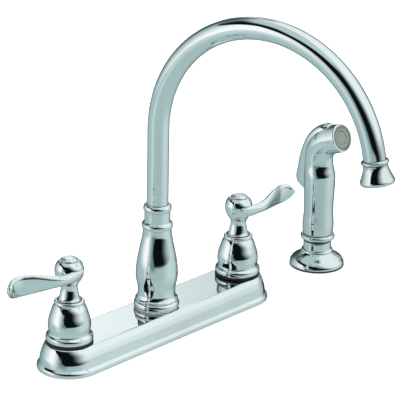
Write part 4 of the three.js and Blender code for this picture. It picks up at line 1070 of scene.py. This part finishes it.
def makeTrigger():  # a hood whose sides stand in the body's grooves, and the lug on the pin
    back, over = grip["radius"] + trigger["standOff"], grip["bend"] + grip["radius"]
    steps, power = trigger["around"], trigger["roundness"]
    centre = Vector((0, -grip["bend"], bendFoot))
    points = [Vector((wide, back + out, triggerTip + up)) for out, up, wide in trigger["lower"]]
    points += [overBend(over + out, angle) + Vector((wide, 0, 0)) for out, angle, wide in trigger["upper"]]
    rings = []
    for spot in softRun(points, 7):
        outward = Vector((0, spot.y, spot.z)) - centre
        if spot.z < bendFoot:
            outward.z = 0
        sunk = min(gap, 14 * (1 - spot.x) - trigger["depth"])
        tall = outward.length - grip["bend"] - grip["recess"] - sunk
        outward.normalize()
        ring = []
        for inset, way in ((0, 1), (trigger["thickness"], -1)):
            for k in range(-steps, steps + 1):
                a = way * k * math.pi / (2 * steps)
                drop = tall - (tall - inset) * abs(math.cos(a)) ** power
                across = (trigger["halfWidth"] * spot.x - 0.9 * inset) * abs(math.sin(a)) ** power
                x = math.copysign(across, a)
                ring.append(Vector((sprayerX + x, spot.y, spot.z)) - outward * drop)
        rings.append(ring)
    body = loftMesh("spray_trigger_chrome", rings, 40)
    cutOrJoin(body, [sideways("lug", [fromPivot(*p) for p in trigger["lug"]], pin["lug"])], "UNION", 35)
    dress(body, "trigger", "chrome", ["spray_trigger"])


def makeTriggerSpring():  # lies along y in front of the plunger, which presses it together
    low, high = (Vector(corner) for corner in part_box("trigger_spring"))
    wire, length, centre = spring["wire"] * mm, high.y - low.y, (low + high) / 2
    piece = grownPiece("trigger_spring_steel", *threads, {
        "Core Radius": spring["radius"] * mm, "Ridge": wire, "Pitch": (length - 2 * wire) / spring["turns"],
        "Foot": wire, "Height": length - 2 * wire, "Across": 0.0, "Material": materials["steel"]}, 20)
    place = Matrix.Translation((centre.x, high.y, centre.z))
    piece.data.transform(place @ Matrix.Rotation(math.pi / 2, 4, "X"))
    dress(piece, "sprayer", "steel", ["trigger_spring"])
    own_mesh(piece)


makeGuide()
makeSprayBody()
makeFace()
makeTrigger()
print("sprayer made")


shank = {
    "radius": 10.3,
    "length": 46.0,
    "ridge": 0.55,
    "pitch": 1.8,
    "bore": 5.5,
    "collar": 14.6,
    "head": 11.0,
    "height": 36.0,
    "chamber": 8.7,
}
nipple = {"radius": 7.0, "ridge": 0.45, "pitch": 1.4, "length": 24.0}
feed = {"radius": 3.8, "height": 10.0, "reach": 30.0}  # bores between the valves and the hub
nut = {"flats": 34.0, "height": 9.0, "chamfer": 2.2}
washer = {"radius": 18.0, "thickness": 2.4}
deckGap = 12.0  # room for the sink deck over the washers


def feedBar(start, end):
    z = feed["height"]
    return roundBar("feed", Vector((start, 0, z)), Vector((end, 0, z)), feed["radius"])


def makeValveBody(prefix, side, x):
    r, core, low = shank["radius"], shank["radius"] - shank["ridge"], -shank["length"]
    top, wide, head = faucet["plateHeight"] - plate["wall"], shank["collar"], shank["head"]
    bore, high, chamber = shank["bore"], shank["height"], shank["chamber"]
    line = softLine([
        [bore, low], [core - 1, low, 1], [core, low + 1, 1], [core, -3, 1], [r, -2.4, 1], [r, 2.3, 1],
        [wide - 0.4, 2.3, 1], [wide, 2.7, 1], [wide, top - 0.8, 1], [wide - 0.5, top - 0.3, 1],
        [head, top + 1, 1], [head, high - 0.4, 1], [head - 0.4, high, 1], [chamber, high, 1],
        [chamber, 16, 1], [4.8, 16, 1], [4.8, 14, 1], [bore, 14, 1]], 1)
    body = turnedMesh(prefix + "_valve_body_brass", line, x, 64)
    cutOrJoin(body, [feedBar(x, x - side * feed["reach"])], "DIFFERENCE")
    dress(body, "base", "brass", [prefix + "_valve_body"])
    makeThread(prefix + "_shank_thread", core, shank["ridge"], shank["pitch"], low + 2,
               shank["length"] - 6, x, "brass")


def makeNut(name, node, x, bore, slot):
    high = -deckGap - washer["thickness"] - gap
    low, corner = high - nut["height"], nut["flats"] / math.sqrt(3)
    body = loftMesh(name, [[(x + across, y, z) for y, across in circle(corner, 6)] for z in (low, high)])
    flat, deep = nut["flats"] / 2, nut["chamfer"]
    bevels = turnedMesh("bevels", [[0, low], [flat - 0.3, low], [flat + 3.6, low + deep],
                                   [flat + 3.6, high - deep], [flat - 0.3, high], [0, high]], x)
    cutOrJoin(body, [bevels], "INTERSECT")
    hole = turnedMesh("hole", [[0, low - 1], [bore, low - 1], [bore, high + 1], [0, high + 1]], x, 64)
    cutOrJoin(body, [hole], "DIFFERENCE")
    dress(body, "base", slot, [node])


def makeWasher(name, node, x, bore):
    r, low, high = washer["radius"], -deckGap - washer["thickness"], -deckGap
    line = softLine([[bore, low], [r - 0.4, low, 1], [r, low + 0.4], [r, high - 0.4], [r - 0.4, high, 1],
                     [bore, high, 1]], 2)
    dress(turnedMesh(name, line, x, 72), "base", "rubber", [node])


def makeHub():
    core, low = nipple["radius"] - nipple["ridge"], -nipple["length"]
    screw = faucet["spoutFoot"] + hub["screw"]
    r, foot, high, wide = hub["radius"], hub["foot"], hub["height"], hub["foot"] + 1.4
    line = [[3.2, low], [core - 0.8, low], [core, low + 0.8], [core, -3], [7, -2.5], [7, 2.3], [wide, 2.3],
            [wide, 19.5], [foot, 19.8], [foot, screw - 2.4], [foot - 1, screw - 2.4], [foot - 1, screw + 2.4],
            [foot, screw + 2.4], [foot, 36], [r, 36]]
    for z in hub["rings"]:
        line += [[r, z - 1.3], [r - 1.2, z - 1.3], [r - 1.2, z + 1.3], [r, z + 1.3]]
    line += [[r, high], [6.6, high], [6.6, 21.7], [4.8, 21.7], [4.8, 6], [3.2, 6]]
    body = turnedMesh("spout_hub_brass", line, 0, 64)
    cutOrJoin(body, [feedBar(-feed["reach"], feed["reach"])], "DIFFERENCE")
    dress(body, "base", "brass", ["spout_hub"])
    makeThread("hub_nipple_thread", core, nipple["ridge"], nipple["pitch"], low + 1.5,
               nipple["length"] - 5, 0, "brass")


for prefix, side, x in (("hot", -1, hotX), ("cold", 1, coldX)):
    makeValveBody(prefix, side, x)
    makeNut(prefix + "_shank_nut_brass", prefix + "_shank_nut", x, shank["radius"] + gap, "brass")
    makeWasher(prefix + "_shank_washer_rubber", prefix + "_shank_washer", x, shank["radius"] + gap)
makeHub()
makeNut("spray_guide_nut_black", "spray_guide_nut", sprayerX, guide["shank"] + gap, "black_plastic")
makeWasher("spray_guide_washer_rubber", "spray_guide_washer", sprayerX, guide["shank"] + gap)
makeThread("spray_guide_thread", guide["shank"] - 0.6, shank["ridge"], shank["pitch"], -36, 30, sprayerX,
           "chrome")
makeAerator()
makeTriggerSpring()
print("lower fittings, aerator and spring made")
